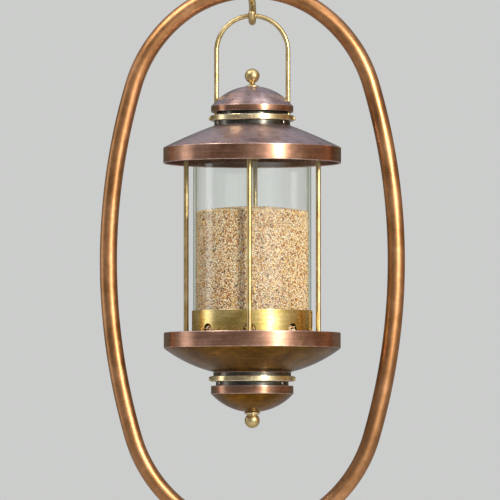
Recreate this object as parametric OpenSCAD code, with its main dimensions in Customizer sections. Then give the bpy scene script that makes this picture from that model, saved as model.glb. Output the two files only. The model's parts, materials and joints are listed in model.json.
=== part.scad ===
// Lantern-shaped hanging bird feeder in an oval tube hoop on a ground pole.
// Origin on the pole's axis at ground level, +Z up, the hoop in the XZ plane, the front at -Y.

/* [Stand] */
// Height of the hoop's centre above the ground
hoop_z = 1340; // [1240:10:1500]
// Bend radius of the hoop's top and bottom, to the middle of its tube
hoop_end_r = 146; // [140:2:152]
// Bend radius of the hoop's shoulders, to the middle of its tube
hoop_shoulder_r = 176; // [170:2:182]
// Bend radius of the hoop's sides, to the middle of its tube
hoop_side_r = 800; // [780:10:830]
// Outside diameter of the hoop and pole tube
tube_d = 22; // [19:0.5:22.5]
// Wall thickness of the hoop and pole tube
tube_wall = 1.5; // [1:0.1:2.5]
// Wall thickness of the tee, coupling and socket around the tube
sleeve_wall = 3; // [2:0.5:5]
// Height of the joint between the two pole sections
pole_joint_z = 480; // [350:10:600]
// Radius from the pole's axis to each ground prong
prong_circle_r = 68; // [55:1:85]
// Diameter of each ground prong
prong_d = 8; // [6:0.5:12]
// Depth of the prongs below the ground
prong_depth = 150; // [100:5:200]
// Diameter of the centre spike
spike_d = 16; // [12:0.5:18]
// Depth of the centre spike below the ground
spike_depth = 220; // [160:5:300]

/* [Hook] */
// Diameter of the S-hook's rod
hook_d = 9; // [7:0.5:10]
// Inside radius of the loop that holds the bail
hook_lower_r = 7.1; // [6.8:0.1:8]
// Inside radius of the loop over the hoop
hook_upper_r = 11.5; // [11.5:0.1:12.5]

/* [Feeder] */
// Outside radius of the roof's band
roof_r = 113; // [110:0.5:118]
// Height of the roof's band
roof_band_h = 19.8; // [14:0.1:24]
// Height of the roof band's lower edge above the tray's band
roof_z = 235; // [220:1:250]
// Outside radius of the tray's band
tray_r = 112.3; // [108:0.1:118]
// Height of the tray's band
tray_band_h = 20; // [14:1:24]
// Depth of the tray's bowl below its band
bowl_depth = 31; // [24:1:36]
// Thickness of the spun copper sheet
sheet_t = 1.2; // [0.8:0.1:1.6]
// Outside radius of the glass tube
glass_r = 75; // [72:0.5:76]
// Wall thickness of the glass tube
glass_wall = 3; // [2:0.5:5]
// Radius of the circle of tie rods
rod_circle_r = 84; // [83:0.5:88]
// Diameter of each tie rod
rod_d = 6.35; // [5:0.05:7]
// Height of the seed collar's upper edge above the tray's band
collar_top = 47.8; // [44:0.1:56]
// Radius of each seed outlet
outlet_r = 7.8; // [7:0.1:8.3]
// Number of seed outlets
outlets = 8; // [4:1:10]
// Height of the seed's edge at the glass above the tray's band
seed_top = 172.6; // [120:0.1:220]
// Outside radius of the brass rings above the roof and below the tray
ring_r = 53; // [52:0.5:56]
// Height of each brass ring
ring_h = 7; // [5:0.5:8]

/* [Lid] */
// Outside radius of the lid's rim, and of the bottom cap's
lid_r = 52.3; // [51.5:0.1:53]
// Radius of the lid's dome
lid_dome_r = 65; // [64:0.5:67]
// Radius of both finial balls
ball_r = 9.5; // [8:0.1:10.5]
// Diameter of the bail's wire
bail_d = 6; // [5:0.1:6]
// Radius of the bail's arch, to the middle of the wire
bail_r = 45.5; // [45.3:0.1:45.8]

/* [Hidden] */
$fn = 96;
// Gap between pieces that hang or rest on each other across a joint
hang_gap = 0.3;
// Gap between pieces that fit into each other on one body
fit_gap = 0.05;
overrun = 1;

tube_r = tube_d / 2;
sleeve_r = tube_r + sleeve_wall;
spike_r = spike_d / 2;
stub_r = spike_r - 1;
rod_r = rod_d / 2;
bail_wire_r = bail_d / 2;
hook_wire_r = hook_d / 2;

// The oval is made of arcs that meet in line: two ends, four shoulders and two sides.
// Directions in the hoop's plane where an end meets a shoulder and a shoulder meets a side.
end_joint = [0.6, 0.8];
side_joint = [0.96, 0.28];
side_x = -(hoop_shoulder_r - hoop_end_r) * end_joint[0] - (hoop_side_r - hoop_shoulder_r) * side_joint[0];
shoulder_x = -(hoop_shoulder_r - hoop_end_r) * end_joint[0];
shoulder_z = (hoop_side_r - hoop_shoulder_r) * side_joint[1];
end_z = shoulder_z + (hoop_shoulder_r - hoop_end_r) * end_joint[1];
hoop_half_h = end_z + hoop_end_r;
hoop_bottom = hoop_z - hoop_half_h;
// Directions where the tube stops inside the tee, and where the tee stops on the tube.
hoop_end = [0.02, 1];
tee_end = [0.28, 0.96];
tee_socket_h = 50;

pole_top = hoop_bottom - tube_r - 5;
plate_t = 4;
coupling_h = 80;
socket_h = 80;
arm_w = 30;
spike_tip = 40;
prong_tip = 20;

// The hook hangs on the hoop, the bail on the hook, and the feeder's heights follow from that.
hook_upper_bend = hook_upper_r + hook_wire_r;
hook_lower_bend = hook_lower_r + hook_wire_r;
hook_cross = asin(0.28);
hook_pitch = (hook_upper_bend + hook_lower_bend) / 0.96;
hook_upper_z = hoop_z + hoop_half_h - (hook_upper_r - tube_r) + hang_gap;
hook_lower_z = hook_upper_z - hook_pitch;
bail_top_z = hook_lower_z - (hook_lower_r - bail_wire_r) + hang_gap;

// Heights on the feeder are measured up from the lower edge of the tray's band.
bail_top = 423.2;
feeder_z = bail_top_z - bail_top;
arch_z = bail_top - bail_r;
roof_top = 283;
roof_top_r = 48.8;
neck_r = 48.3;
neck_bore_r = 40;
neck_tube_r = 41;
neck_top = 317.1;
flange_r = 50;
flange_t = 1.5;
flange_hole_r = 45.5;
side_screw_r = 1.2;
neck_screw_z = 286;
neck_screw_turn = -32;
neck_screw_tip = 43;
ring_z = 288.8;
bail_foot = 290;
lid_rim_z = 300.2;
lid_rim_top = 307.8;
lid_dome_z = 268.5;
lid_land_r = 11;
lid_sphere_r = 50.6;
lid_land_z = lid_dome_z + sqrt(pow(lid_dome_r, 2) - pow(lid_land_r, 2));
plate_r = 104;
plate_z = 251;
plate_h = 2;
rod_low = -8;
rod_high = 262;
gasket_h = 2;
floor_t = 1.5;
floor_z = 3;
drain_circle_r = 98;
cone_r = 66;
cone_tip_r = 6;
cone_z = 33;
cone_t = 1;
ledge_z = 31;
ledge_t = 2;
ledge_r = 68;
collar_r = glass_r + 1.5;
collar_wall = 1.2;
outlet_z = 22.6;
glass_z = ledge_z + ledge_t + gasket_h;
glass_top = plate_z - gasket_h;
bowl_floor_r = 49.3;
spool_r = 46.1;
spool_web = 2;
spool_bore_r = 40;
spool_screw_z = -44.8;
spool_screw_turn = 208;
spool_screw_tip = 42;
lower_ring_top = -35.2;
cap_top = -47.4;
cap_rim_h = 10.3;
cap_dome_r = 70;
cap_apex = -81;
cap_land_z = -80.2;
cap_land_r = 11;
cap_sphere_r = 51;
cap_bore_r = 44;
finial_stud_r = 2.5;
finial_stud_h = 7;
finial_z = -91.6;
bolt_r = 3;
screw_r = 1.6;
nut_af = 11.1;
nut_h = 5.6;
washer_r = 7;
washer_t = 1;

copper = [0.55, 0.30, 0.22];
dark_copper = [0.30, 0.20, 0.16];
brass = [0.78, 0.62, 0.30];
steel = [0.55, 0.55, 0.56];
black_rubber = [0.08, 0.08, 0.08];
seed = [0.80, 0.66, 0.42];

// ---- Shapes that repeat ----

function normal(a, b) = [b[1] - a[1], a[0] - b[0]] / norm(b - a);

function mitre(m, n) = (m + n) / (1 + m * n);

// Inside of a sheet whose outside runs through pts, with t to the right of the way they run.
function inside(pts, t) = [for (i = [0:len(pts) - 1])
    let (before = normal(pts[max(i - 1, 0)], pts[max(i, 1)]),
        after = normal(pts[min(i, len(pts) - 2)], pts[min(i + 1, len(pts) - 1)]))
    pts[i] + t * mitre(before, after)];

function reversed(pts) = [for (i = [len(pts) - 1:-1:0]) pts[i]];

// Points from p to q along a shallow bow that stands out by rise, to the left of the way.
function bowed(p, q, rise, steps) = [for (i = [0:steps])
    let (s = i / steps) p + s * (q - p) - 4 * rise * s * (1 - s) * normal(p, q)];

// Points on a circle about the axis, from radius r0 to r1, on its upper or lower half.
function crown(r, z, r0, r1, steps, half = 1) = [for (i = [0:steps])
    let (x = r0 + (r1 - r0) * i / steps) [x, z + half * sqrt(r * r - x * x)]];

module spun_sheet(pts, t) {
    rotate_extrude()
        polygon(concat(pts, reversed(inside(pts, t))));
}

module ring(r_out, r_in, z0, z1) {
    translate([0, 0, z0])
        difference() {
            cylinder(r = r_out, h = z1 - z0);
            translate([0, 0, -overrun])
                cylinder(r = r_in, h = z1 - z0 + 2 * overrun);
        }
}

// Bent rod or tube in the XZ plane, about a centre at the origin, angles from +X up.
module bend(bend_r, from, to, r, bore_r = 0) {
    rotate([90, 0, 0])
        rotate([0, 0, from])
            rotate_extrude(angle = to - from, $fn = 180)
                translate([bend_r, 0])
                    difference() {
                        circle(r, $fn = 48);
                        if (bore_r > 0)
                            circle(bore_r, $fn = 48);
                    }
}

// Arc of rod or tube in the XZ plane, between two directions from its centre at the origin.
module arc(bend_r, from, to, r, bore_r = 0) {
    reach = bend_r + 3 * r;
    rotate([90, 0, 0])
        intersection() {
            rotate_extrude($fn = 180)
                translate([bend_r, 0])
                    difference() {
                        circle(r, $fn = 48);
                        if (bore_r > 0)
                            circle(bore_r, $fn = 48);
                    }
            translate([0, 0, -2 * r])
                linear_extrude(4 * r)
                    polygon([[0, 0], reach * from, reach * (from + to), reach * to]);
        }
}

// Copies of children at equal steps about the upright axis, the first turned by start.
module around(count, start = 0) {
    for (i = [0:count - 1])
        rotate([0, 0, start + i * 360 / count])
            children();
}

// Shaft along +X from radius r0 to r1 at height z.
module radial(r, r0, r1, z) {
    translate([r0, 0, z])
        rotate([0, 90, 0])
            cylinder(r = r, h = r1 - r0, $fn = 32);
}

// Screw along +X at height z: its head sits on a round wall of radius seat_r, its tip ends at tip_r.
module pan_screw(seat_r, tip_r, z) {
    head_r = 2.6;
    head_h = 1.4;
    radial(screw_r, tip_r, seat_r + head_h / 2, z);
    radial(head_r, seat_r + fit_gap, seat_r + head_h, z);
    translate([seat_r + head_h, 0, z])
        rotate([0, 90, 0])
            cylinder(r1 = head_r, r2 = head_r * 0.6, h = head_h / 2, $fn = 32);
}

module nut(z, bore_r) {
    translate([0, 0, z])
        difference() {
            cylinder(d = nut_af / cos(30), h = nut_h, $fn = 6);
            translate([0, 0, -overrun])
                cylinder(r = bore_r, h = nut_h + 2 * overrun, $fn = 48);
        }
}

module at_rods() {
    around(4)
        translate([rod_circle_r, 0, 0])
            children();
}

module cylinder_between(r, z0, z1) {
    translate([0, 0, z0])
        cylinder(r = r, h = z1 - z0);
}

module on_feeder() {
    translate([0, 0, feeder_z])
        children();
}

// ---- Stand ----

// One quarter of the hoop above its centre on the right: half an end, a shoulder, half a side.
module hoop_quarter(end_from) {
    bore_r = tube_r - tube_wall;
    translate([0, 0, end_z])
        arc(hoop_end_r, end_joint, end_from, tube_r, bore_r);
    translate([shoulder_x, 0, shoulder_z])
        arc(hoop_shoulder_r, side_joint, end_joint, tube_r, bore_r);
    translate([side_x, 0, 0])
        arc(hoop_side_r, [1, 0], side_joint, tube_r, bore_r);
}

// Oval of bent tube, open at the bottom where its two ends meet inside the tee.
module hoop() {
    color(copper)
        translate([0, 0, hoop_z])
            for (side = [0, 1])
                mirror([side, 0, 0]) {
                    hoop_quarter([0, 1]);
                    mirror([0, 0, 1])
                        hoop_quarter(hoop_end);
                }
}

// Cast tee that joins the hoop's two lower ends and takes the pole.
module hoop_tee() {
    color(copper)
        difference() {
            union() {
                translate([0, 0, hoop_z - end_z])
                    arc(hoop_end_r, [-tee_end[0], -tee_end[1]], [tee_end[0], -tee_end[1]], sleeve_r);
                translate([0, 0, pole_top - tee_socket_h])
                    cylinder(r = sleeve_r, h = hoop_bottom - pole_top + tee_socket_h);
            }
            translate([0, 0, hoop_z - end_z])
                arc(hoop_end_r, [-0.6, -0.8], [0.6, -0.8], tube_r + fit_gap);
            translate([0, 0, pole_top - tee_socket_h - overrun])
                cylinder(r = tube_r + fit_gap, h = tee_socket_h + overrun);
            thumb_screw_hole(thumb_screw_heights()[0]);
        }
}

// Heights of the four thumb screws: tee, coupling above and below the joint, ground socket.
function thumb_screw_heights() = [pole_top - tee_socket_h / 2, pole_joint_z + coupling_h / 4,
    pole_joint_z - coupling_h / 4, plate_t + socket_h * 0.7];

module thumb_screw_hole(z) {
    rotate([0, 0, -90])
        radial(bolt_r, tube_r - overrun, sleeve_r + overrun, z);
}

module thumb_screw(z) {
    knob_r = 8;
    rotate([0, 0, -90]) {
        radial(bolt_r - fit_gap, tube_r + 2 * fit_gap, sleeve_r + 6, z);
        radial(knob_r, sleeve_r + 5, sleeve_r + 10, z);
        radial(knob_r - 3, sleeve_r + 3, sleeve_r + 5, z);
    }
}

module pole_thumb_screws() {
    color(brass)
        for (z = thumb_screw_heights())
            thumb_screw(z);
}

module upper_pole() {
    color(copper)
        ring(tube_r, tube_r - tube_wall, pole_joint_z, pole_top);
}

module lower_pole() {
    color(copper)
        ring(tube_r, tube_r - tube_wall, plate_t, pole_joint_z);
}

module pole_coupling() {
    color(copper)
        difference() {
            ring(sleeve_r, tube_r + fit_gap, pole_joint_z - coupling_h / 2, pole_joint_z + coupling_h / 2);
            thumb_screw_hole(thumb_screw_heights()[1]);
            thumb_screw_hole(thumb_screw_heights()[2]);
        }
}

module ground_socket() {
    color(dark_copper)
        difference() {
            ring(sleeve_r, tube_r + fit_gap, plate_t, plate_t + socket_h);
            thumb_screw_hole(thumb_screw_heights()[3]);
        }
}

// Cross of two flat arms with rounded ends, which is also the step for a foot.
module prong_plate() {
    color(dark_copper)
        difference() {
            union()
                for (turn = [0, 90])
                    rotate([0, 0, turn]) {
                        translate([-prong_circle_r, -arm_w / 2, 0])
                            cube([2 * prong_circle_r, arm_w, plate_t]);
                        for (side = [-1, 1])
                            translate([side * prong_circle_r, 0, 0])
                                cylinder(d = arm_w, h = plate_t);
                    }
            translate([0, 0, -overrun])
                cylinder(r = stub_r + fit_gap, h = plate_t + 2 * overrun);
            around(4)
                translate([prong_circle_r, 0, -overrun])
                    cylinder(d = prong_d, h = plate_t + 2 * overrun, $fn = 48);
        }
}

module ground_prongs() {
    color(dark_copper)
        around(4)
            translate([prong_circle_r, 0, 0]) {
                translate([0, 0, prong_tip - prong_depth])
                    cylinder(d = prong_d, h = prong_depth - prong_tip + plate_t, $fn = 48);
                translate([0, 0, -prong_depth])
                    cylinder(d1 = 1, d2 = prong_d, h = prong_tip, $fn = 48);
            }
}

// Round spike whose shoulder stops under the plate, with a stub that the pole slides over.
module centre_spike() {
    tip_r = 1;
    stub_h = 60;
    color(dark_copper) {
        translate([0, 0, -spike_depth])
            cylinder(r1 = tip_r, r2 = spike_r, h = spike_tip);
        translate([0, 0, spike_tip - spike_depth])
            cylinder(r = spike_r, h = spike_depth - spike_tip);
        cylinder(r = stub_r, h = plate_t + stub_h);
    }
}

// ---- Hook ----

// S-hook across the hoop: the upper loop goes over the tube, the lower one holds the bail.
module s_hook() {
    upper_tip_h = 6;
    chamfer = 1.2;
    color(brass)
        translate([0, 0, hook_lower_z])
            rotate([0, 0, 90]) {
                bend(hook_lower_bend, -180, 90 - hook_cross, hook_wire_r);
                rotate([0, hook_cross - 90, 0])
                    translate([hook_lower_bend, 0, 0])
                        cylinder(r = hook_wire_r, h = 0.28 * hook_pitch, $fn = 48);
                translate([-hook_lower_bend, 0, 0])
                    cylinder(r1 = hook_wire_r, r2 = hook_wire_r - chamfer, h = chamfer, $fn = 48);
                translate([0, 0, hook_pitch]) {
                    bend(hook_upper_bend, 0, 270 - hook_cross, hook_wire_r);
                    translate([hook_upper_bend, 0, -upper_tip_h])
                        cylinder(r = hook_wire_r, h = upper_tip_h, $fn = 48);
                    translate([hook_upper_bend, 0, -upper_tip_h - chamfer])
                        cylinder(r1 = hook_wire_r - chamfer, r2 = hook_wire_r, h = chamfer, $fn = 48);
                }
            }
}

// ---- Feeder ----

module bail() {
    color(brass)
        on_feeder() {
            translate([0, 0, arch_z])
                bend(bail_r, 0, 180, bail_wire_r);
            for (side = [-1, 1])
                translate([side * bail_r, 0, bail_foot])
                    cylinder(r = bail_wire_r, h = arch_z - bail_foot, $fn = 48);
        }
}

module top_ring() {
    color(brass)
        on_feeder()
            difference() {
                ring(ring_r, neck_tube_r + fit_gap, ring_z, ring_z + ring_h);
                for (side = [-1, 1])
                    translate([side * bail_r, 0, bail_foot])
                        cylinder(r = bail_wire_r + fit_gap, h = ring_h, $fn = 48);
                around(4)
                    radial(screw_r + fit_gap, bail_r + bail_wire_r, ring_r + overrun, ring_z + ring_h / 2);
            }
}

module top_ring_screws() {
    color(brass)
        on_feeder()
            around(4)
                pan_screw(ring_r, bail_r + bail_wire_r + 2 * fit_gap, ring_z + ring_h / 2);
}

// Turned neck: a filling tube with a shoulder on the roof and a flange on the roof plate.
module filler_neck() {
    flange_z = plate_z + plate_h;
    color(dark_copper)
        on_feeder()
            difference() {
                union() {
                    cylinder_between(neck_tube_r, flange_z, neck_top);
                    cylinder_between(neck_r, roof_top, ring_z);
                    cylinder_between(flange_r, flange_z, flange_z + flange_t);
                }
                cylinder_between(neck_bore_r, flange_z - overrun, neck_top + overrun);
                around(3, neck_screw_turn)
                    radial(side_screw_r + fit_gap, neck_screw_tip, neck_r + overrun, neck_screw_z);
                flange_holes(flange_z, flange_t);
            }
}

module flange_holes(z, t) {
    around(4, 45)
        translate([flange_hole_r, 0, 0])
            cylinder_between(screw_r + fit_gap, z - overrun, z + t + overrun, $fn = 32);
}

module side_screw(seat_r, tip_r, z) {
    head_r = 2;
    head_h = 1.2;
    radial(side_screw_r, tip_r + 2 * fit_gap, seat_r + head_h / 2, z);
    radial(head_r, seat_r + fit_gap, seat_r + head_h, z);
}

module neck_side_screws() {
    color(steel)
        on_feeder()
            around(3, neck_screw_turn)
                side_screw(neck_r, neck_screw_tip, neck_screw_z);
}

module neck_flange_screws() {
    flange_top = plate_z + plate_h + flange_t;
    head_r = 3;
    head_h = 1.8;
    tip_h = 3;
    color(brass)
        on_feeder()
            around(4, 45)
                translate([flange_hole_r, 0, 0]) {
                    cylinder_between(screw_r, plate_z - tip_h, flange_top + head_h / 2, $fn = 32);
                    cylinder_between(head_r, flange_top + fit_gap, flange_top + head_h, $fn = 32);
                }
}

module roof() {
    eave = [roof_r - 1, roof_z + roof_band_h + 0.6];
    outside = concat([[neck_tube_r + fit_gap, roof_top - fit_gap]],
        bowed([roof_top_r, roof_top - fit_gap], eave, 0.9, 8),
        [[roof_r, roof_z + roof_band_h - 0.6], [roof_r, roof_z]]);
    color(copper)
        on_feeder() {
            spun_sheet(outside, sheet_t);
            hem(roof_r, roof_z + 1);
        }
}

// Rolled edge inside a band's free rim.
module hem(r, z) {
    rotate_extrude()
        translate([r - sheet_t, z])
            circle(1, $fn = 24);
}

module roof_plate() {
    color(dark_copper)
        on_feeder()
            difference() {
                ring(plate_r, neck_tube_r + fit_gap, plate_z, plate_z + plate_h);
                at_rods()
                    cylinder_between(rod_r + fit_gap, plate_z - overrun, plate_z + plate_h + overrun);
                flange_holes(plate_z, plate_h);
            }
}

module upper_gasket() {
    color(black_rubber)
        on_feeder()
            ring(glass_r + 1, glass_r - glass_wall - 0.5, glass_top, plate_z);
}

module lower_gasket() {
    color(black_rubber)
        on_feeder()
            ring(glass_r, ledge_r + 0.5, ledge_z + ledge_t, glass_z);
}

module glass_tube() {
    color([0.8, 0.9, 0.9, 0.3])
        on_feeder()
            ring(glass_r, glass_r - glass_wall, glass_z, glass_top);
}

// Brass collar with a ledge for the glass and a row of round seed outlets.
module seed_collar() {
    color(brass)
        on_feeder()
            difference() {
                union() {
                    ring(collar_r, collar_r - collar_wall, floor_z, collar_top);
                    ring(collar_r - collar_wall / 2, ledge_r, ledge_z, ledge_z + ledge_t);
                }
                around(outlets)
                    radial(outlet_r, 60, collar_r + overrun, outlet_z, $fn = 64);
            }
}

module tie_rod(turn) {
    color(brass)
        on_feeder()
            rotate([0, 0, turn])
                translate([rod_circle_r, 0, 0])
                    cylinder_between(rod_r, rod_low, rod_high);
}

module tie_rod_front() {
    tie_rod(-90);
}

module tie_rod_right() {
    tie_rod(0);
}

module tie_rod_back() {
    tie_rod(90);
}

module tie_rod_left() {
    tie_rod(180);
}

// Nuts and washers clamp a plate from both sides: z is its underside, t its thickness.
module clamp_nuts(z, t) {
    color(brass)
        on_feeder()
            at_rods()
                for (nut_z = [z - washer_t - nut_h, z + t + washer_t])
                    nut(nut_z, rod_r + fit_gap);
}

module clamp_washers(z, t) {
    color(brass)
        on_feeder()
            at_rods()
                for (washer_z = [z - washer_t, z + t])
                    ring(washer_r, rod_r + fit_gap, washer_z, washer_z + washer_t);
}

module upper_rod_nuts() {
    clamp_nuts(plate_z, plate_h);
}

module upper_rod_washers() {
    clamp_washers(plate_z, plate_h);
}

module lower_rod_nuts() {
    clamp_nuts(floor_z - floor_t, floor_t);
}

module lower_rod_washers() {
    clamp_washers(floor_z - floor_t, floor_t);
}

module tray() {
    outside = concat([[bolt_r + 0.2, -bowl_depth]],
        bowed([bowl_floor_r, -bowl_depth], [tray_r - 0.8, -1], -3.6, 8),
        [[tray_r, 0.6], [tray_r, tray_band_h]]);
    color(copper)
        on_feeder() {
            spun_sheet(reversed(outside), sheet_t);
            hem(tray_r, tray_band_h - 1);
        }
}

// Floor disc with holes for the rods and the bolt, and rings of small drain holes.
module tray_floor() {
    hem_room = 2.6;
    drain_r = 1.5;
    color(brass)
        on_feeder()
            difference() {
                ring(tray_r - sheet_t - hem_room, bolt_r + fit_gap, floor_z - floor_t, floor_z);
                at_rods()
                    cylinder_between(rod_r + fit_gap, -overrun, floor_z + overrun);
                around(24, 7.5)
                    translate([drain_circle_r, 0, 0])
                        cylinder_between(drain_r, -overrun, floor_z + overrun, $fn = 24);
            }
}

// Baffle that sheds the seed outwards to the outlets, and centres the collar.
module seed_cone() {
    brim_r = collar_r - collar_wall - fit_gap;
    color(brass)
        on_feeder()
            rotate_extrude()
                polygon([[brim_r, floor_z + cone_t], [cone_r, floor_z + cone_t],
                    [cone_tip_r, cone_z + cone_t], [0, cone_z + cone_t], [0, cone_z],
                    [cone_tip_r - 0.4, cone_z], [cone_r - 0.4, floor_z], [brim_r, floor_z]]);
}

module seed_fill() {
    edge_r = glass_r - glass_wall - hang_gap;
    collar_in = collar_r - collar_wall - hang_gap;
    ledge_in = ledge_r - hang_gap;
    clear = cone_t + hang_gap + 0.1;
    mound = 6.4;
    steps = 8;
    color(seed)
        on_feeder()
            rotate_extrude()
                polygon(concat([[0, cone_z + clear], [cone_tip_r + 0.2, cone_z + clear],
                    [cone_r + 0.2, floor_z + clear], [collar_in, floor_z + clear],
                    [collar_in, ledge_z - hang_gap], [ledge_in, ledge_z - hang_gap],
                    [ledge_in, glass_z + hang_gap], [edge_r, glass_z + hang_gap]],
                    [for (i = [0:steps])
                        let (s = 1 - i / steps) [edge_r * s, seed_top + mound * (1 - s * s)]]));
}

// Seed that has run out of the collar and lies round it in the tray.
module tray_seed() {
    lowest = floor_z + hang_gap;
    heap_in = collar_r + hang_gap;
    heap_out = 96;
    heap_h = 12;
    color(seed)
        on_feeder()
            difference() {
                rotate_extrude()
                    polygon([[heap_in, lowest], [heap_out, lowest], [heap_out - 6, 7], [heap_in, heap_h]]);
                at_rods()
                    cylinder_between(washer_r + hang_gap, 0, tray_band_h);
            }
}

module centre_spacer() {
    spacer_r = 6;
    color(steel)
        on_feeder()
            ring(spacer_r, bolt_r + fit_gap, -bowl_depth + sheet_t, floor_z - floor_t);
}

module centre_bolt() {
    past_nut = 3.4;
    color(steel)
        on_feeder()
            cylinder_between(bolt_r, finial_z, floor_z + nut_h + past_nut);
}

module centre_nut() {
    color(steel)
        on_feeder()
            nut(floor_z, bolt_r + fit_gap);
}

// Turned spool between the tray and the bottom cap.
module bottom_spool() {
    color(dark_copper)
        on_feeder()
            difference() {
                union() {
                    cylinder_between(bowl_floor_r, lower_ring_top, -bowl_depth);
                    cylinder_between(spool_r, cap_top, -bowl_depth);
                }
                cylinder_between(spool_bore_r, cap_top - overrun, -bowl_depth - spool_web);
                cylinder_between(bolt_r + fit_gap, cap_top, -bowl_depth + overrun);
                around(3, spool_screw_turn)
                    radial(side_screw_r + fit_gap, spool_screw_tip, spool_r + overrun, spool_screw_z);
            }
}

module bottom_ring() {
    ring_low = lower_ring_top - ring_h;
    color(brass)
        on_feeder()
            difference() {
                ring(ring_r, spool_r + fit_gap, ring_low, lower_ring_top);
                around(4)
                    radial(screw_r + fit_gap, spool_r, ring_r + overrun, ring_low + ring_h / 2);
            }
}

module bottom_ring_screws() {
    color(brass)
        on_feeder()
            around(4)
                pan_screw(ring_r, spool_r + 2 * fit_gap, lower_ring_top - ring_h / 2);
}

module spool_side_screws() {
    color(steel)
        on_feeder()
            around(3, spool_screw_turn)
                side_screw(spool_r, spool_screw_tip, spool_screw_z);
}

module bottom_cap() {
    rim_low = cap_top - cap_rim_h;
    outside = concat([[cap_bore_r, cap_top], [lid_r, cap_top], [lid_r, rim_low]],
        reversed(crown(cap_dome_r, cap_apex + cap_dome_r, cap_land_r, cap_sphere_r, 12, -1)),
        [[bolt_r + 0.2, cap_land_z]]);
    color(copper)
        on_feeder()
            spun_sheet(outside, sheet_t);
}

module bottom_finial() {
    head_r = 10;
    head_h = 2.6;
    stem_r = 6;
    stem_h = 6;
    color(brass)
        on_feeder()
            difference() {
                union() {
                    cylinder_between(head_r, cap_land_z - head_h, cap_land_z);
                    cylinder_between(stem_r, cap_land_z - stem_h, cap_land_z);
                    translate([0, 0, finial_z])
                        sphere(ball_r + 0.1);
                }
                cylinder_between(bolt_r + fit_gap, finial_z - fit_gap, cap_land_z + overrun);
            }
}

// ---- Lid ----

module lid() {
    outside = concat([[finial_stud_r + 0.2, lid_land_z]],
        crown(lid_dome_r, lid_dome_z, lid_land_r, lid_sphere_r, 12),
        [[lid_r, lid_rim_top], [lid_r, lid_rim_z]]);
    color(copper)
        on_feeder()
            difference() {
                spun_sheet(outside, sheet_t);
                for (side = [-1, 1])
                    translate([side * bail_r, 0, lid_rim_z - overrun])
                        cylinder(r = bail_wire_r + 0.6, h = 30, $fn = 48);
            }
}

module lid_finial() {
    foot_r = 8.9;
    foot_h = 2;
    stem_r = 5;
    ball_z = 14;
    color(brass)
        on_feeder()
            translate([0, 0, lid_land_z]) {
                cylinder_between(finial_stud_r, -finial_stud_h, foot_h);
                cylinder_between(foot_r, 0, foot_h);
                cylinder_between(stem_r, 0, ball_z / 2);
                translate([0, 0, ball_z])
                    sphere(ball_r);
            }
}

module lid_finial_nut() {
    nut_r = 4.6;
    thick = 4;
    color(steel)
        on_feeder()
            translate([0, 0, lid_land_z - sheet_t - thick])
                difference() {
                    cylinder(r = nut_r, h = thick, $fn = 6);
                    translate([0, 0, -overrun])
                        cylinder(r = finial_stud_r + fit_gap, h = thick + 2 * overrun, $fn = 32);
                }
}

hoop();
hoop_tee();
upper_pole();
pole_coupling();
lower_pole();
ground_socket();
prong_plate();
ground_prongs();
centre_spike();
pole_thumb_screws();
s_hook();
bail();
top_ring();
top_ring_screws();
filler_neck();
neck_side_screws();
neck_flange_screws();
roof();
roof_plate();
upper_gasket();
glass_tube();
lower_gasket();
seed_collar();
tie_rod_front();
tie_rod_right();
tie_rod_back();
tie_rod_left();
upper_rod_nuts();
upper_rod_washers();
lower_rod_nuts();
lower_rod_washers();
tray();
tray_floor();
seed_cone();
seed_fill();
tray_seed();
centre_spacer();
centre_bolt();
centre_nut();
bottom_spool();
bottom_ring();
bottom_ring_screws();
spool_side_screws();
bottom_cap();
bottom_finial();
lid();
lid_finial();
lid_finial_nut();
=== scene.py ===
import json
import math

import bmesh
import bpy
import numpy as np
from mathutils import Matrix, Vector


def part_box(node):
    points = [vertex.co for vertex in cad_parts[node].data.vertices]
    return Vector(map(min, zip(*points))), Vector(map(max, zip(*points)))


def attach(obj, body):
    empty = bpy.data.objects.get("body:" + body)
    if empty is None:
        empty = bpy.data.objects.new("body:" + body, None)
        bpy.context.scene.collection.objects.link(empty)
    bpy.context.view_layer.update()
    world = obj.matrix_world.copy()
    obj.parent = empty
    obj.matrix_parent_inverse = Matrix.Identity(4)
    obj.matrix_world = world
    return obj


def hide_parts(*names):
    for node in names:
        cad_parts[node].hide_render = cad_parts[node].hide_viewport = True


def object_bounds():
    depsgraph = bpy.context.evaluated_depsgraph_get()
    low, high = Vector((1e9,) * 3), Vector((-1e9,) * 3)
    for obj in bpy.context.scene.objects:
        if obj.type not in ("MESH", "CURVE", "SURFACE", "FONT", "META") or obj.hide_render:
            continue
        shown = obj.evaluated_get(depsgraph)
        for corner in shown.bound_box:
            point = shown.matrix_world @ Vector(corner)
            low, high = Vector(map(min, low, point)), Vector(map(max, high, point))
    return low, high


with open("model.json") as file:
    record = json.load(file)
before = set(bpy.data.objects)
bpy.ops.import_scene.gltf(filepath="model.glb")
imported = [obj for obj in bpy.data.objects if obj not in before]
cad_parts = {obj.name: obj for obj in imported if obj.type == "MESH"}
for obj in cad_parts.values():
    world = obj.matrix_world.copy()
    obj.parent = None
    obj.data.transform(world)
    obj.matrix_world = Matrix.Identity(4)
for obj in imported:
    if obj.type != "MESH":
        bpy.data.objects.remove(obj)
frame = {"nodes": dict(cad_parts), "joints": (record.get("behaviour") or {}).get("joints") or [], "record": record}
cad_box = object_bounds()

# ---- Measures. Outlines are in millimetres, heights are those of the frame. ----

MM = 0.001
rng = np.random.default_rng(20)


def span(node):
    """Outer radius, lowest and highest height of a node that stands round the feeder's axis, in mm."""
    low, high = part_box(node)
    return high.x / MM, low.z / MM, high.z / MM


def joint_height(name):
    joint = next(j for j in frame["joints"] if j["name"] == name)
    return joint["pos_m"][2] / MM


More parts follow.
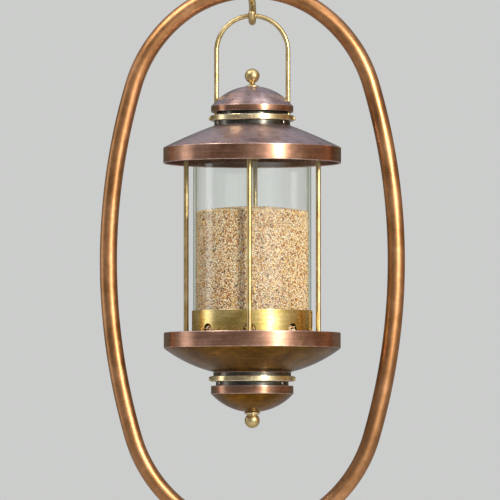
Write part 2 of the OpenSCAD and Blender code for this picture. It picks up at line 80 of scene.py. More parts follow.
TRAY_R, BOWL_FLOOR_Z, TRAY_TOP = span("tray")
BOWL_DEPTH = 31
DATUM = BOWL_FLOOR_Z + BOWL_DEPTH  # height of the lower edge of the tray's band
SHEET = 1.2
HEM = 1.1
FILLET_SUPPORT = 0.25  # greatest distance from a fillet to the extra points before and after it
ROD_CIRCLE_R = (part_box("tie_rod_right")[0].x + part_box("tie_rod_right")[1].x) / 2 / MM
OUTLET_COUNT = 8
OUTLET_R = 7.8
OUTLET_Z = DATUM + 22.6


# ---- Outlines ----

def bow(p, q, rise, steps=12):
    """Points from p to q along a shallow curve that stands out by rise to the left of the way."""
    along = np.subtract(q, p)
    left = np.array([-along[1], along[0]]) / np.linalg.norm(along)
    shares = np.linspace(0, 1, steps + 1)
    return [(*(np.array(p) + s * along + 4 * rise * s * (1 - s) * left), 0) for s in shares]


def dome(radius, centre_z, r0, r1, steps=20, half=1):
    """Points on a sphere about the axis from radius r0 to r1, on its upper or lower half."""
    return [(r, centre_z + half * math.sqrt(radius ** 2 - r ** 2), 0) for r in np.linspace(r0, r1, steps + 1)]


def rounded(corners, closed=True, steps=5):
    """Outline from corners (r, z, fillet). Each fillet becomes an arc with a point before and after it.
    Returns the points and, for each, 1 on a fillet and 0 elsewhere."""
    points, edge_wear_and_highlight = [], []
    count = len(corners)
    for i, (x, z, fillet) in enumerate(corners):
        here = np.array([x, z], float)
        at_end = not closed and i in (0, count - 1)
        if fillet == 0 or at_end:
            points.append(here)
            edge_wear_and_highlight.append(0.0)
            continue
        back = np.array(corners[i - 1][:2], float) - here
        ahead = np.array(corners[(i + 1) % count][:2], float) - here
        room = min(np.linalg.norm(back), np.linalg.norm(ahead))
        back /= np.linalg.norm(back)
        ahead /= np.linalg.norm(ahead)
        opening = math.acos(max(-1.0, min(1.0, float(back @ ahead))))
        reach = min(fillet / math.tan(opening / 2), 0.48 * room)
        radius = reach * math.tan(opening / 2)
        middle = here + (back + ahead) / np.linalg.norm(back + ahead) * radius / math.sin(opening / 2)
        start, end = here + back * reach - middle, here + ahead * reach - middle
        sweep = math.pi - opening
        extra = min(FILLET_SUPPORT, 0.4 * (room - 2 * reach)) if room > 2 * reach + 0.05 else 0
        if extra:
            points.append(here + back * (reach + extra))
            edge_wear_and_highlight.append(0.0)
        for k in range(steps + 1):
            s = k / steps
            turned = math.sin((1 - s) * sweep) * start + math.sin(s * sweep) * end
            points.append(middle + turned / math.sin(sweep))
            edge_wear_and_highlight.append(1.0)
        if extra:
            points.append(here + ahead * (reach + extra))
            edge_wear_and_highlight.append(0.0)
    return points, edge_wear_and_highlight


def sheet_outline(outer):
    """Closed outline of spun sheet: the outer points, then the same run back, shifted to the way's right."""
    pts = [np.array(p[:2], float) for p in outer]
    inner = []
    for i, p in enumerate(pts):
        before = pts[i] - pts[i - 1] if i else pts[1] - pts[0]
        after = pts[i + 1] - pts[i] if i < len(pts) - 1 else before
        m = np.array([before[1], -before[0]]) / np.linalg.norm(before)
        n = np.array([after[1], -after[0]]) / np.linalg.norm(after)
        shifted = p + SHEET * (m + n) / (1 + m @ n)
        fillet = max(outer[i][2] - SHEET, 0.2) if outer[i][2] else 0
        inner.append((shifted[0], shifted[1], fillet))
    return outer + inner[::-1]


# ---- Meshes ----

def make_mesh(verts, faces, grain=None, edge_wear_and_highlight=None, tint=None):
    """Smooth mesh from points in metres, with the named values that the materials read."""
    mesh = bpy.data.meshes.new("mesh")
    mesh.from_pydata(np.asarray(verts, float).tolist(), [], faces)
    # The fillet values mark where materials lighten the colour: rubbed edges with a painted edge highlight.
    layers = (("grain", "FLOAT_VECTOR", grain), ("edge_wear_and_highlight", "FLOAT", edge_wear_and_highlight), ("tint", "FLOAT", tint))
    for label, kind, values in layers:
        if values is None:
            continue
        layer = mesh.attributes.new(label, kind, "POINT")
        field = "vector" if kind == "FLOAT_VECTOR" else "value"
        layer.data.foreach_set(field, np.asarray(values, np.float32).ravel())
    mesh.shade_smooth()
    mesh.update()
    return mesh


def piece(name, mesh, body, material, nodes=()):
    """Object that rides on a body, and stands for the given CAD nodes."""
    mesh.name = name
    made = bpy.data.objects.new(name, mesh)
    bpy.context.scene.collection.objects.link(made)
    made.data.materials.append(material)
    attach(made, body)
    if nodes:
        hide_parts(*nodes)


def skin(rows, closed):
    """Faces between rows of point numbers. A row of one point is a tip."""
    faces = []
    for low, high in list(zip(rows, rows[1:])) + ([(rows[-1], rows[0])] if closed else []):
        count = max(len(low), len(high))
        for i in range(count):
            j = (i + 1) % count
            if len(low) == 1:
                faces.append((low[0], high[j], high[i]))
            elif len(high) == 1:
                faces.append((low[i], low[j], high[0]))
            else:
                faces.append((low[i], low[j], high[j], high[i]))
    return faces


def lathe_mesh(corners, closed=True, steps=160, shape=None):
    """Turned shape about the Z axis. A closed outline stays off the axis, an open one starts and ends on it.
    shape(r, z, a) may move a point of the outline in or out and up or down at the angle a."""
    outline, edge_wear_and_highlight = rounded(corners, closed)
    lengths = np.concatenate([[0], np.cumsum([np.linalg.norm(b - a) for a, b in zip(outline, outline[1:])])])
    turns = np.linspace(0, 2 * math.pi, steps, endpoint=False)
    verts, grain, edge_wear_and_highlight_mask, rows = [], [], [], []
    for (r, z), s, w in zip(outline, lengths, edge_wear_and_highlight):
        ring = turns if r > 1e-6 else [0]
        rows.append(list(range(len(verts), len(verts) + len(ring))))
        for a in ring:
            radius, height = shape(r, z, a) if shape else (r, z)
            x, y = radius * math.cos(a), radius * math.sin(a)
            verts.append((x * MM, y * MM, height * MM))
            grain.append((x * MM * 0.04, y * MM * 0.04, s * MM))
            edge_wear_and_highlight_mask.append(w)
    faces = skin(rows, closed)
    if sum(a[0] * b[1] - b[0] * a[1] for a, b in zip(outline, outline[1:] + outline[:1])) < 0:
        faces = [f[::-1] for f in faces]
    return make_mesh(verts, faces, grain, edge_wear_and_highlight_mask)


def tube_mesh(path, radius, sides=32, across=(0, 1, 0), end_round=0.5):
    """Round rod swept along a flat path in mm, with rounded ends. across is square to the path's plane."""
    path = np.array(path, float)
    across = np.array(across, float)
    lengths = np.concatenate([[0], np.cumsum(np.linalg.norm(np.diff(path, axis=0), axis=1))])
    ways = np.gradient(path, axis=0)
    ways /= np.linalg.norm(ways, axis=1)[:, None]
    turns = np.linspace(0, 2 * math.pi, sides, endpoint=False)
    bulge = [math.radians(a) for a in (25, 50, 72, 90)]
    reach = radius * end_round
    head = [(path[0] - ways[0] * reach * math.sin(a), ways[0], radius * math.cos(a), 0)
            for a in bulge[::-1]]
    tail = [(path[-1] + ways[-1] * reach * math.sin(a), ways[-1], radius * math.cos(a), lengths[-1])
            for a in bulge]
    rings = head + [(path[i], ways[i], radius, lengths[i]) for i in range(len(path))] + tail
    verts, grain, rows = [], [], []
    for centre, way, r, s in rings:
        side = np.cross(across, way)
        ring = turns if r > 1e-6 else [0]
        rows.append(list(range(len(verts), len(verts) + len(ring))))
        for a in ring:
            verts.append((centre + r * (math.cos(a) * side + math.sin(a) * across)) * MM)
            grain.append((radius * math.cos(a) * MM, radius * math.sin(a) * MM, s * MM * 0.04))
    return make_mesh(verts, skin(rows, False), grain)


def plate_mesh(corners, low, high, bevel):
    """Flat plate with a rounded outline and bevelled edges, between two heights."""
    outline, _ = rounded(corners, True, 10)
    work = bmesh.new()
    work.faces.new([work.verts.new((x * MM, y * MM, low * MM)) for x, y in outline])
    raised = bmesh.ops.extrude_face_region(work, geom=work.faces[:])["geom"]
    upper = [v for v in raised if isinstance(v, bmesh.types.BMVert)]
    bmesh.ops.translate(work, vec=(0, 0, (high - low) * MM), verts=upper)
    rims = [e for e in work.edges if abs(e.verts[0].co.z - e.verts[1].co.z) < 1e-9]
    bmesh.ops.bevel(work, geom=rims, offset=bevel * MM, segments=3, profile=0.5, affect="EDGES")
    bmesh.ops.recalc_face_normals(work, faces=work.faces)
    mesh = bpy.data.meshes.new("mesh")
    work.to_mesh(mesh)
    work.free()
    mesh.shade_smooth()
    mesh.set_sharp_from_angle(angle=math.radians(40))
    return mesh


def box_mesh(low, high):
    work = bmesh.new()
    bmesh.ops.create_cube(work, size=1)
    for v in work.verts:
        v.co = [(low[i] if v.co[i] < 0 else high[i]) * MM for i in range(3)]
    mesh = bpy.data.meshes.new("mesh")
    work.to_mesh(mesh)
    work.free()
    return mesh


def joined(parts):
    """One mesh from (mesh, matrix) pairs."""
    whole = bpy.data.meshes.new("mesh")
    work = bmesh.new()
    for mesh, matrix in parts:
        start = len(work.verts)
        work.from_mesh(mesh)
        work.verts.ensure_lookup_table()
        bmesh.ops.transform(work, matrix=matrix, verts=work.verts[start:])
    work.to_mesh(whole)
    work.free()
    return whole


def evaluated(mesh, *modifiers):
    """The mesh after modifiers, each a kind and its settings. A mesh among the settings is a cutting tool."""
    body = bpy.data.objects.new("work", mesh)
    bpy.context.scene.collection.objects.link(body)
    tools = []
    for kind, settings in modifiers:
        step = body.modifiers.new(kind, kind)
        for key, value in settings.items():
            if isinstance(value, bpy.types.Mesh):
                value = bpy.data.objects.new("tool", value)
                bpy.context.scene.collection.objects.link(value)
                tools.append(value)
            setattr(step, key, value)
    bpy.context.view_layer.update()
    graph = bpy.context.evaluated_depsgraph_get()
    done = bpy.data.meshes.new_from_object(body.evaluated_get(graph), depsgraph=graph)
    for o in [body, *tools]:
        bpy.data.objects.remove(o)
    return done


def cut(mesh, *cutters):
    """The mesh less the cutter meshes, with crisp rims."""
    steps = [("BOOLEAN", {"operation": "DIFFERENCE", "solver": "EXACT", "object": c}) for c in cutters]
    done = evaluated(mesh, *steps)
    done.set_sharp_from_angle(angle=math.radians(35))
    return done


def arc(centre, radius, start, end, step=3.0):
    """Points on an arc in a plane, between two angles in degrees, about step mm apart."""
    count = max(2, int(abs(math.radians(end - start)) * radius / step))
    return [(centre[0] + radius * math.cos(math.radians(a)), centre[1] + radius * math.sin(math.radians(a)))
            for a in np.linspace(start, end, count + 1)]


def line(p, q, step=3.0):
    count = max(1, int(math.dist(p, q) / step))
    return [tuple(np.array(p) + (np.array(q) - np.array(p)) * k / count) for k in range(count + 1)]


def chained(*runs):
    """Runs of points joined end to end, with the shared points kept once."""
    path = list(runs[0])
    for run in runs[1:]:
        path += run[1:]
    return path


def around(count, radius, z, start=0.0):
    """Matrices that put copies at equal steps round the axis, upright, turned to face outwards."""
    out = Matrix.Translation((radius * MM, 0, z * MM))
    return [Matrix.Rotation(start + k * 2 * math.pi / count, 4, "Z") @ out for k in range(count)]


LYING = Matrix.Rotation(math.pi / 2, 4, "Y")  # turns a mesh made along +Z to point along +X, outwards


# ---- Fasteners ----

def nut_mesh(flats, height, bore_r):
    """Hexagon nut with its corners chamfered at 30 degrees on both faces."""
    hub_r = flats / 2 * 0.96

    def hexagon(r, z, a):
        if r < flats / 2:
            return r, z
        corner_r = flats / 2 / math.cos((a + math.pi / 6) % (math.pi / 3) - math.pi / 6)
        drop = (corner_r - hub_r) * math.tan(math.radians(30))
        return corner_r, (drop if z < height / 2 else height - drop)

    mesh = lathe_mesh([(bore_r, 0.4, 0), (bore_r + 0.4, 0, 0), (hub_r, 0, 0), (flats / 2, 0.1, 0),
                       (flats / 2, height - 0.1, 0), (hub_r, height, 0), (bore_r + 0.4, height, 0),
                       (bore_r, height - 0.4, 0)], steps=96, shape=hexagon)
    mesh.set_sharp_from_angle(angle=math.radians(25))
    return mesh


def screw_mesh(head_r, head_h, shank_r, shank_h, recess):
    """Screw along +Z with its head's seat at 0. recess is "cross" or "hexagon"."""
    edge = head_h * 0.35
    body = lathe_mesh([(0, -shank_h, 0), (shank_r, -shank_h, 0.2), (shank_r, 0.02, 0), (head_r, 0.02, 0.15),
                       (head_r, head_h - edge, edge), (head_r * 0.7, head_h, edge), (0, head_h, 0)],
                False, 48)
    deep, wide, slim = head_h * 0.45, head_r * 0.62, head_r * 0.13
    if recess == "cross":
        tools = [box_mesh((-x, -y, deep), (x, y, head_h + 1)) for x, y in ((wide, slim), (slim, wide))]
    else:
        tools = [lathe_mesh([(0, deep, 0), (wide * 0.85, deep, 0), (wide * 0.85, head_h + 1, 0),
                             (0, head_h + 1, 0)], False, 6)]
    return cut(body, *tools)


# ---- Materials ----

def add(tree, kind, inputs=None, **settings):
    made = tree.nodes.new("ShaderNode" + kind)
    for key, value in settings.items():
        setattr(made, key, value)
    for key, value in (inputs or {}).items():
        if isinstance(value, bpy.types.NodeSocket):
            tree.links.new(value, made.inputs[key])
        else:
            made.inputs[key].default_value = value
    return made


def ramp(tree, factor, stops):
    made = add(tree, "ValToRGB", {"Fac": factor})
    points = made.color_ramp.elements
    while len(points) < len(stops):
        points.new(0.5)
    for point, (place, colour) in zip(points, stops):
        point.position = place
        point.color = (*colour, 1)
    return made.outputs["Color"]


def mixed(tree, factor, a, b):
    made = add(tree, "Mix", data_type="RGBA", blend_type="MIX")
    for index, value in ((0, factor), (6, a), (7, b)):
        if isinstance(value, bpy.types.NodeSocket):
            tree.links.new(value, made.inputs[index])
        else:
            made.inputs[index].default_value = value if index == 0 else (*value, 1)
    return made.outputs[2]


def scaled(tree, value, low, high, from_low=0.0, from_high=1.0):
    made = add(tree, "MapRange", {0: value, 1: from_low, 2: from_high, 3: low, 4: high})
    return made.outputs[0]


def noise(tree, vector, scale, detail=3.0, roughness=0.55, distortion=0.0):
    made = add(tree, "TexNoise", {"Vector": vector, "Scale": scale, "Detail": detail, "Roughness": roughness,
                                  "Distortion": distortion})
    return made.outputs["Fac"]


def new_material(name):
    made = bpy.data.materials.new(name)
    made.use_nodes = True
    made.node_tree.nodes.clear()
    return made, made.node_tree


def output(tree, shader):
    add(tree, "OutputMaterial", {"Surface": shader})


def principled(tree, inputs):
    output(tree, add(tree, "BsdfPrincipled", inputs).outputs["BSDF"])


def times(tree, colour, factor):
    return add(tree, "VectorMath", {0: colour, "Scale": factor}, operation="SCALE").outputs["Vector"]


def metal(name, stops, roughness, edge_wear_and_highlight_colour=None, brush=0.5, patch_scale=22, anisotropy=0.0,
          lines_from="grain", top=None, under=None):
    """Brushed metal: patchy patina through the colour stops, fine brush lines, and fillets lightened towards the
    edge colour, which stands for rubbed edges plus a painted edge highlight. The last two arguments give the stops
    on faces that look up, patina with a painted sky sheen, and on faces that look down, painted shade. lines_from
    is "grain" on the turned and swept pieces, whose brush lines run round or along them, or "upright" on CAD
    nodes."""
    made, tree = new_material(name)
    place = add(tree, "TexCoord")
    spot = place.outputs["Object"]
    if lines_from == "grain":
        grain = add(tree, "Attribute", attribute_name="grain").outputs["Vector"]
    else:
        grain = add(tree, "Mapping", {"Vector": spot, "Scale": (1, 1, 0.04)}).outputs["Vector"]
    patches = noise(tree, spot, patch_scale, 5, 0.62, 0.4)
    fine = noise(tree, spot, patch_scale * 9, 3, 0.6)
    lines = noise(tree, grain, 1700, 2, 0.7)
    wide_lines = noise(tree, grain, 420, 3, 0.6)
    colour = ramp(tree, patches, stops)
    if top is not None:
        # Painted light: faces that look up blend towards the top stops, patina with a painted sky sheen, and faces
        # that look down blend towards the last stops, which are painted shade.
        up_facing_for_painted_light = add(tree, "SeparateXYZ", {"Vector": place.outputs["Normal"]}).outputs["Z"]
        clouds = noise(tree, spot, patch_scale * 1.7, 6, 0.68, 0.7)
        colour = mixed(tree, scaled(tree, up_facing_for_painted_light, 0, 1, 0.25, 0.75), colour, ramp(tree, clouds, top))
        colour = mixed(tree, scaled(tree, up_facing_for_painted_light, 0, 1, -0.2, -0.5), colour, ramp(tree, clouds, under))
    colour = times(tree, colour, scaled(tree, wide_lines, 1 - 0.2 * brush, 1 + 0.2 * brush, 0.3, 0.7))
    colour = times(tree, colour, scaled(tree, fine, 0.88, 1.08, 0.3, 0.65))
    # Fillets are lightened towards the edge colour, for rubbed edges plus a painted highlight along each rounded
    # edge.
    if edge_wear_and_highlight_colour is not None:
        edge_wear_and_highlight_mask = add(tree, "Attribute", attribute_name="edge_wear_and_highlight").outputs["Fac"]
        ragged = add(tree, "Math", {0: edge_wear_and_highlight_mask, 1: scaled(tree, fine, 0.4, 0.9, 0.3, 0.6)}, operation="MULTIPLY")
        colour = mixed(tree, ragged.outputs[0], colour, edge_wear_and_highlight_colour)
    gloss = add(tree, "Math", {0: scaled(tree, lines, roughness - 0.05, roughness + 0.07, 0.3, 0.7),
                               1: scaled(tree, patches, -0.04, 0.06, 0.35, 0.65)}, operation="ADD").outputs[0]
    bump = add(tree, "Bump", {"Height": lines, "Strength": 0.25 * brush, "Distance": 0.00003})
    inputs = {"Base Color": colour, "Metallic": 1.0, "Roughness": gloss, "Normal": bump.outputs["Normal"],
              "Anisotropic": anisotropy}
    if anisotropy:
        inputs["Tangent"] = add(tree, "Tangent", direction_type="RADIAL", axis="Z").outputs["Tangent"]
        inputs["Anisotropic Rotation"] = 0.25
    principled(tree, inputs)
    return made


def plain(name, low, high, roughness, scale, bump=0.0):
    """Non-metal with a mottled tone."""
    made, tree = new_material(name)
    spot = add(tree, "TexCoord").outputs["Object"]
    patches = noise(tree, spot, scale, 4)
    inputs = {"Base Color": mixed(tree, patches, low, high),
              "Roughness": scaled(tree, patches, roughness - 0.08, roughness + 0.08)}
    if bump:
        inputs["Normal"] = add(tree, "Bump", {"Height": noise(tree, spot, scale * 12, 3), "Strength": bump,
                                              "Distance": 0.0003}).outputs["Normal"]
    principled(tree, inputs)
    return made


def seed_material():
    """Husk: each grain's own tone through the stops, with faint streaks and specks on it."""
    made, tree = new_material("bird_seed")
    spot = add(tree, "TexCoord").outputs["Object"]
    colour = ramp(tree, add(tree, "Attribute", attribute_name="tint").outputs["Fac"], SEED_TONES)
    colour = times(tree, colour, scaled(tree, noise(tree, spot, 1100, 3, 0.6), 0.78, 1.12, 0.3, 0.7))
    bump = add(tree, "Bump", {"Height": noise(tree, spot, 1500, 2), "Strength": 0.3, "Distance": 0.0002})
    inputs = {"Base Color": colour, "Roughness": 0.5, "Normal": bump.outputs["Normal"],
              "Specular IOR Level": 0.4}
    principled(tree, inputs)
    return made


def seed_bed_material():
    """Mottled bed that shows in the chinks between the grains."""
    made, tree = new_material("seed_bed")
    spot = add(tree, "TexCoord").outputs["Object"]
    cells = add(tree, "TexVoronoi", {"Vector": spot, "Scale": 430.0}, feature="F1")
    tone = add(tree, "SeparateColor", {"Color": cells.outputs["Color"]}).outputs["Red"]
    colour = ramp(tree, tone, SEED_BED_TONES)
    bump = add(tree, "Bump", {"Height": cells.outputs["Distance"], "Strength": 1.0, "Distance": 0.001},
               invert=True)
    principled(tree, {"Base Color": colour, "Roughness": 0.8, "Normal": bump.outputs["Normal"]})
    return made


def glass_material():
    """Clear tube: see-through with a faint green edge, gloss by angle, and thin dust streaks."""
    made, tree = new_material("clear_glass")
    spot = add(tree, "TexCoord").outputs["Object"]
    edge = add(tree, "LayerWeight", {"Blend": 0.5}).outputs["Facing"]
    tint = mixed(tree, scaled(tree, edge, 0, 1, 0.70, 1.0), (0.985, 0.995, 0.987), (0.70, 0.80, 0.73))
    clear = add(tree, "BsdfTransparent", {"Color": tint}).outputs["BSDF"]
    gloss = add(tree, "BsdfGlossy", {"Color": (1, 1, 1, 1), "Roughness": 0.05}).outputs["BSDF"]
    steep = add(tree, "Math", {0: edge, 1: 5.0}, operation="POWER").outputs[0]
    mirror = scaled(tree, steep, 0.035, 0.6)
    body = add(tree, "MixShader", {0: mirror, 1: clear, 2: gloss}).outputs["Shader"]
    runs = add(tree, "Mapping", {"Vector": spot, "Scale": (60, 60, 3)}).outputs["Vector"]
    dust = scaled(tree, noise(tree, runs, 1.0, 5, 0.7), 0.0, 0.05, 0.5, 0.75)
    haze = add(tree, "BsdfDiffuse", {"Color": (0.8, 0.8, 0.76, 1)}).outputs["BSDF"]
    output(tree, add(tree, "MixShader", {0: dust, 1: body, 2: haze}).outputs["Shader"])
    return made


COPPER_BAND = [(0.3, (0.26, 0.13, 0.075)), (0.46, (0.35, 0.185, 0.118)), (0.58, (0.42, 0.23, 0.152)),
               (0.72, (0.50, 0.28, 0.185))]
# Stops for spun copper on faces that look up: patina with a painted lilac sky sheen. Stops for faces that look
# down: painted shade.
COPPER_TOP_PATINA_AND_SKY_SHEEN = [(0.32, (0.26, 0.16, 0.14)), (0.45, (0.42, 0.31, 0.30)), (0.55, (0.49, 0.385, 0.39)),
              (0.66, (0.56, 0.37, 0.32)), (0.8, (0.48, 0.26, 0.18))]
COPPER_UNDER_PAINTED_SHADE = [(0.3, (0.085, 0.036, 0.004)), (0.5, (0.158, 0.074, 0.007)), (0.7, (0.27, 0.128, 0.016))]
COPPER_TUBE = [(0.3, (0.31, 0.138, 0.050)), (0.5, (0.43, 0.210, 0.088)), (0.7, (0.53, 0.278, 0.135))]
BRASS = [(0.3, (0.46, 0.34, 0.14)), (0.5, (0.60, 0.46, 0.22)), (0.72, (0.72, 0.59, 0.34))]
BRASS_RING = [(0.3, (0.58, 0.45, 0.22)), (0.5, (0.76, 0.61, 0.34)), (0.72, (0.86, 0.74, 0.48))]
BRASS_COLLAR = [(0.3, (0.60, 0.43, 0.115)), (0.5, (0.74, 0.54, 0.17)), (0.72, (0.84, 0.67, 0.32))]
DARK = [(0.3, (0.065, 0.063, 0.052)), (0.5, (0.11, 0.107, 0.09)), (0.7, (0.18, 0.172, 0.15))]
STEEL = [(0.3, (0.42, 0.42, 0.42)), (0.7, (0.62, 0.62, 0.62))]

# Seeds: how often a kind comes, its half-axes in mm, and its stretch of the tone ramp.
SEED_KINDS = [(0.50, (1.25, 1.12, 1.0), (0.00, 0.28)),   # white and cream millet
              (0.22, (1.25, 1.10, 1.0), (0.30, 0.48)),   # tan millet
              (0.13, (1.20, 1.05, 1.0), (0.50, 0.64)),   # red millet
              (0.04, (1.9, 1.5, 1.2), (0.66, 0.76)),     # cracked corn
              (0.04, (2.1, 0.6, 0.6), (0.79, 0.85)),     # thin dark seed
              (0.07, (2.2, 0.9, 0.8), (0.88, 1.00))]     # long pale seed
SEED_TONES = [(0.00, (0.84, 0.66, 0.41)), (0.14, (0.93, 0.79, 0.57)), (0.29, (0.78, 0.56, 0.31)),
              (0.30, (0.64, 0.38, 0.16)), (0.48, (0.74, 0.46, 0.20)), (0.50, (0.46, 0.18, 0.07)),
              (0.64, (0.60, 0.27, 0.11)), (0.66, (0.86, 0.52, 0.10)), (0.76, (0.92, 0.66, 0.22)),
              (0.79, (0.06, 0.04, 0.03)), (0.85, (0.18, 0.11, 0.07)), (0.88, (0.84, 0.72, 0.52)),
              (1.00, (0.93, 0.86, 0.70))]
SEED_BED_TONES = [(0.0, (0.10, 0.05, 0.02)), (0.3, (0.34, 0.19, 0.08)), (0.6, (0.46, 0.29, 0.13)),
                  (1.0, (0.55, 0.38, 0.2))]

# spun_copper paints a sky sheen on faces that look up, shade on faces that look down, and a highlight along
# fillets.
spun_copper = metal("spun_copper", COPPER_BAND, 0.32, (0.74, 0.52, 0.44), 1.0, 20, 0.6,
                    top=COPPER_TOP_PATINA_AND_SKY_SHEEN, under=COPPER_UNDER_PAINTED_SHADE)
copper_tube = metal("copper_tube", COPPER_TUBE, 0.37, None, 0.5, 18)
copper_pole = metal("copper_pole", COPPER_TUBE, 0.33, None, 0.5, 18, lines_from="upright")
copper_cast = metal("copper_cast", COPPER_TUBE, 0.38, (0.6, 0.4, 0.28), 0.3, 60, lines_from="upright")
brass = metal("aged_brass", BRASS, 0.38, (0.80, 0.70, 0.48), 0.3, 60)
brass_ring = metal("brass_ring", BRASS_RING, 0.26, (0.9, 0.8, 0.56), 0.7, 45, 0.5)
brass_collar = metal("brass_collar", BRASS_COLLAR, 0.27, (0.86, 0.72, 0.42), 0.8, 30, 0.5)
brass_cad = metal("aged_brass_cad", BRASS, 0.30, None, 0.4, 60, lines_from="upright")
dark_metal = metal("dark_metal", DARK, 0.27, (0.26, 0.25, 0.21), 0.8, 40, 0.4)
dark_cad = metal("dark_metal_cad", DARK, 0.30, None, 0.6, 40, lines_from="upright")
steel = metal("plain_steel", STEEL, 0.28, (0.8, 0.8, 0.78), 0.4, 90)
steel_cad = metal("plain_steel_cad", STEEL, 0.28, None, 0.4, 90, lines_from="upright")
bronze = plain("bronze_paint", (0.045, 0.030, 0.022), (0.085, 0.058, 0.042), 0.45, 60, 0.5)
rubber = plain("gasket_rubber", (0.02, 0.02, 0.02), (0.05, 0.05, 0.05), 0.7, 200, 0.3)
glass = glass_material()
husk = seed_material()
seed_bed = seed_bed_material()

# The look of the CAD nodes that no piece stands for, by finish slot.
CAD_LOOKS = {"copper_tube": copper_pole, "aged_brass": brass_cad, "dark_metal": dark_cad,
             "plain_steel": steel_cad, "gasket_rubber": rubber}


# ---- Stand ----

HOOP_END_R, HOOP_SHOULDER_R, HOOP_SIDE_R = 146, 176, 800
END_WAY, SIDE_WAY = (0.6, 0.8), (0.96, 0.28)


def hoop_path():
    """Middle of the tube, from the lower left end over the top to the lower right end."""
    low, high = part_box("hoop")
    mid_z = (low.z + high.z) / 2 / MM
    shoulder = (-(HOOP_SHOULDER_R - HOOP_END_R) * END_WAY[0], (HOOP_SIDE_R - HOOP_SHOULDER_R) * SIDE_WAY[1])
    end_z = shoulder[1] + (HOOP_SHOULDER_R - HOOP_END_R) * END_WAY[1]
    side_x = shoulder[0] - (HOOP_SIDE_R - HOOP_SHOULDER_R) * SIDE_WAY[0]
    end_turn = math.degrees(math.atan2(END_WAY[1], END_WAY[0]))
    side_turn = math.degrees(math.atan2(SIDE_WAY[1], SIDE_WAY[0]))
    gap_turn = math.degrees(math.atan2(1, 0.02))
    quarter = chained(arc((0, end_z), HOOP_END_R, 90, end_turn),
                      arc(shoulder, HOOP_SHOULDER_R, end_turn, side_turn),
                      arc((side_x, 0), HOOP_SIDE_R, side_turn, 0))
    lower = chained(arc((side_x, 0), HOOP_SIDE_R, 0, side_turn),
                    arc(shoulder, HOOP_SHOULDER_R, side_turn, end_turn),
                    arc((0, end_z), HOOP_END_R, end_turn, gap_turn))
    right = quarter + [(x, -z) for x, z in lower[1:]]
    left = [(-x, z) for x, z in right[::-1]]
    return [(x, 0, mid_z + z) for x, z in left[:-1] + right]


TUBE_R = (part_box("hoop")[1].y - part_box("hoop")[0].y) / 2 / MM
FIT = 0.05
piece("hoop_tube", tube_mesh(hoop_path(), TUBE_R, 48, end_round=0.1), "stand",
      copper_tube, ["hoop"])


def tee_mesh():
    """Cast tee: two arms along the hoop's end and a socket for the pole, with beads at the three mouths and
    the joins softened as in a casting, then bored."""
    low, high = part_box("hoop_tee")
    sleeve_r = high.y / MM
    end_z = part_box("hoop")[0].z / MM + TUBE_R + HOOP_END_R
    reach = math.degrees(math.asin(0.28))
    mouths = [-90 - reach, -90 + reach]
    foot = low.z / MM
    body_r, bead_r = sleeve_r - 1, sleeve_r + 0.4

    def solid(path, radius):
        return tube_mesh(path, radius, 48, end_round=0.04)

    def bend(start, end, step=3.0):
        return [(x, 0, z) for x, z in arc((0, end_z), HOOP_END_R, start, end, step)]

    def stem(heights):
        return [(0, 0, z) for z in heights]

    solids = [solid(bend(*mouths), body_r),
              solid(stem(np.linspace(foot + 1, end_z - HOOP_END_R, 12)), body_r)]
    for start in (mouths[0] + 0.4, mouths[1] - 2.2):
        solids.append(solid(bend(start, start + 1.8, 1), bead_r))
    solids.append(solid(stem([foot + z for z in (1, 3, 5)]), bead_r))
    cast = evaluated(joined([(m, Matrix()) for m in solids]),
                     ("REMESH", {"mode": "VOXEL", "voxel_size": 0.8 * MM}),
                     ("SMOOTH", {"factor": 0.5, "iterations": 6}))
    bores = [tube_mesh(bend(-115, -65), TUBE_R + FIT, 48),
             tube_mesh(stem([foot + z for z in (-20, 10, 50)]), TUBE_R + FIT, 48)]
    return cut(cast, *bores)


def sleeve_mesh(low, high, bore_r, outer_r, foot=0.0):
    """Sleeve with a bead at its upper end, and a bead or, where foot is given, a weld at its lower end."""
    wall = outer_r - 0.8
    upper = [(wall, high - 9, 0.8), (outer_r + 0.5, high - 7.5, 0.9), (outer_r + 0.5, high, 1.2)]
    if foot:
        lower = [(bore_r, low, 0.2), (outer_r + foot, low, 0.4),
                 (outer_r + foot * 0.6, low + foot * 0.7, 1.5), (wall, low + foot * 1.3, 1.5)]
    else:
        lower = [(bore_r, low, 0.4), (outer_r + 0.5, low, 1.2), (outer_r + 0.5, low + 7.5, 0.9),
                 (wall, low + 9, 0.8)]
    return lathe_mesh(lower + upper + [(bore_r, high, 0.4)], steps=96)


def knob_mesh(from_r, knob_from, knob_to, knob_r, shank_r):
    """Thumb screw along +Z: a shank, a collar and a knob with a knurled rim."""
    teeth = 40

    def knurled(r, z, a):
        if r < knob_r - 0.6:
            return r, z
        return r - 0.35 * (1 + math.cos(teeth * a)), z

    return lathe_mesh([(0, from_r, 0), (shank_r, from_r, 0.2), (shank_r, knob_from - 2, 0),
                       (knob_r - 3, knob_from - 2, 0.4), (knob_r - 3, knob_from, 0.3),
                       (knob_r, knob_from, 0.8), (knob_r, knob_to, 0.8), (knob_r - 2.4, knob_to, 0.4),
                       (knob_r - 3, knob_to - 0.8, 0.4), (0, knob_to - 0.8, 0)], False, teeth * 4, knurled)


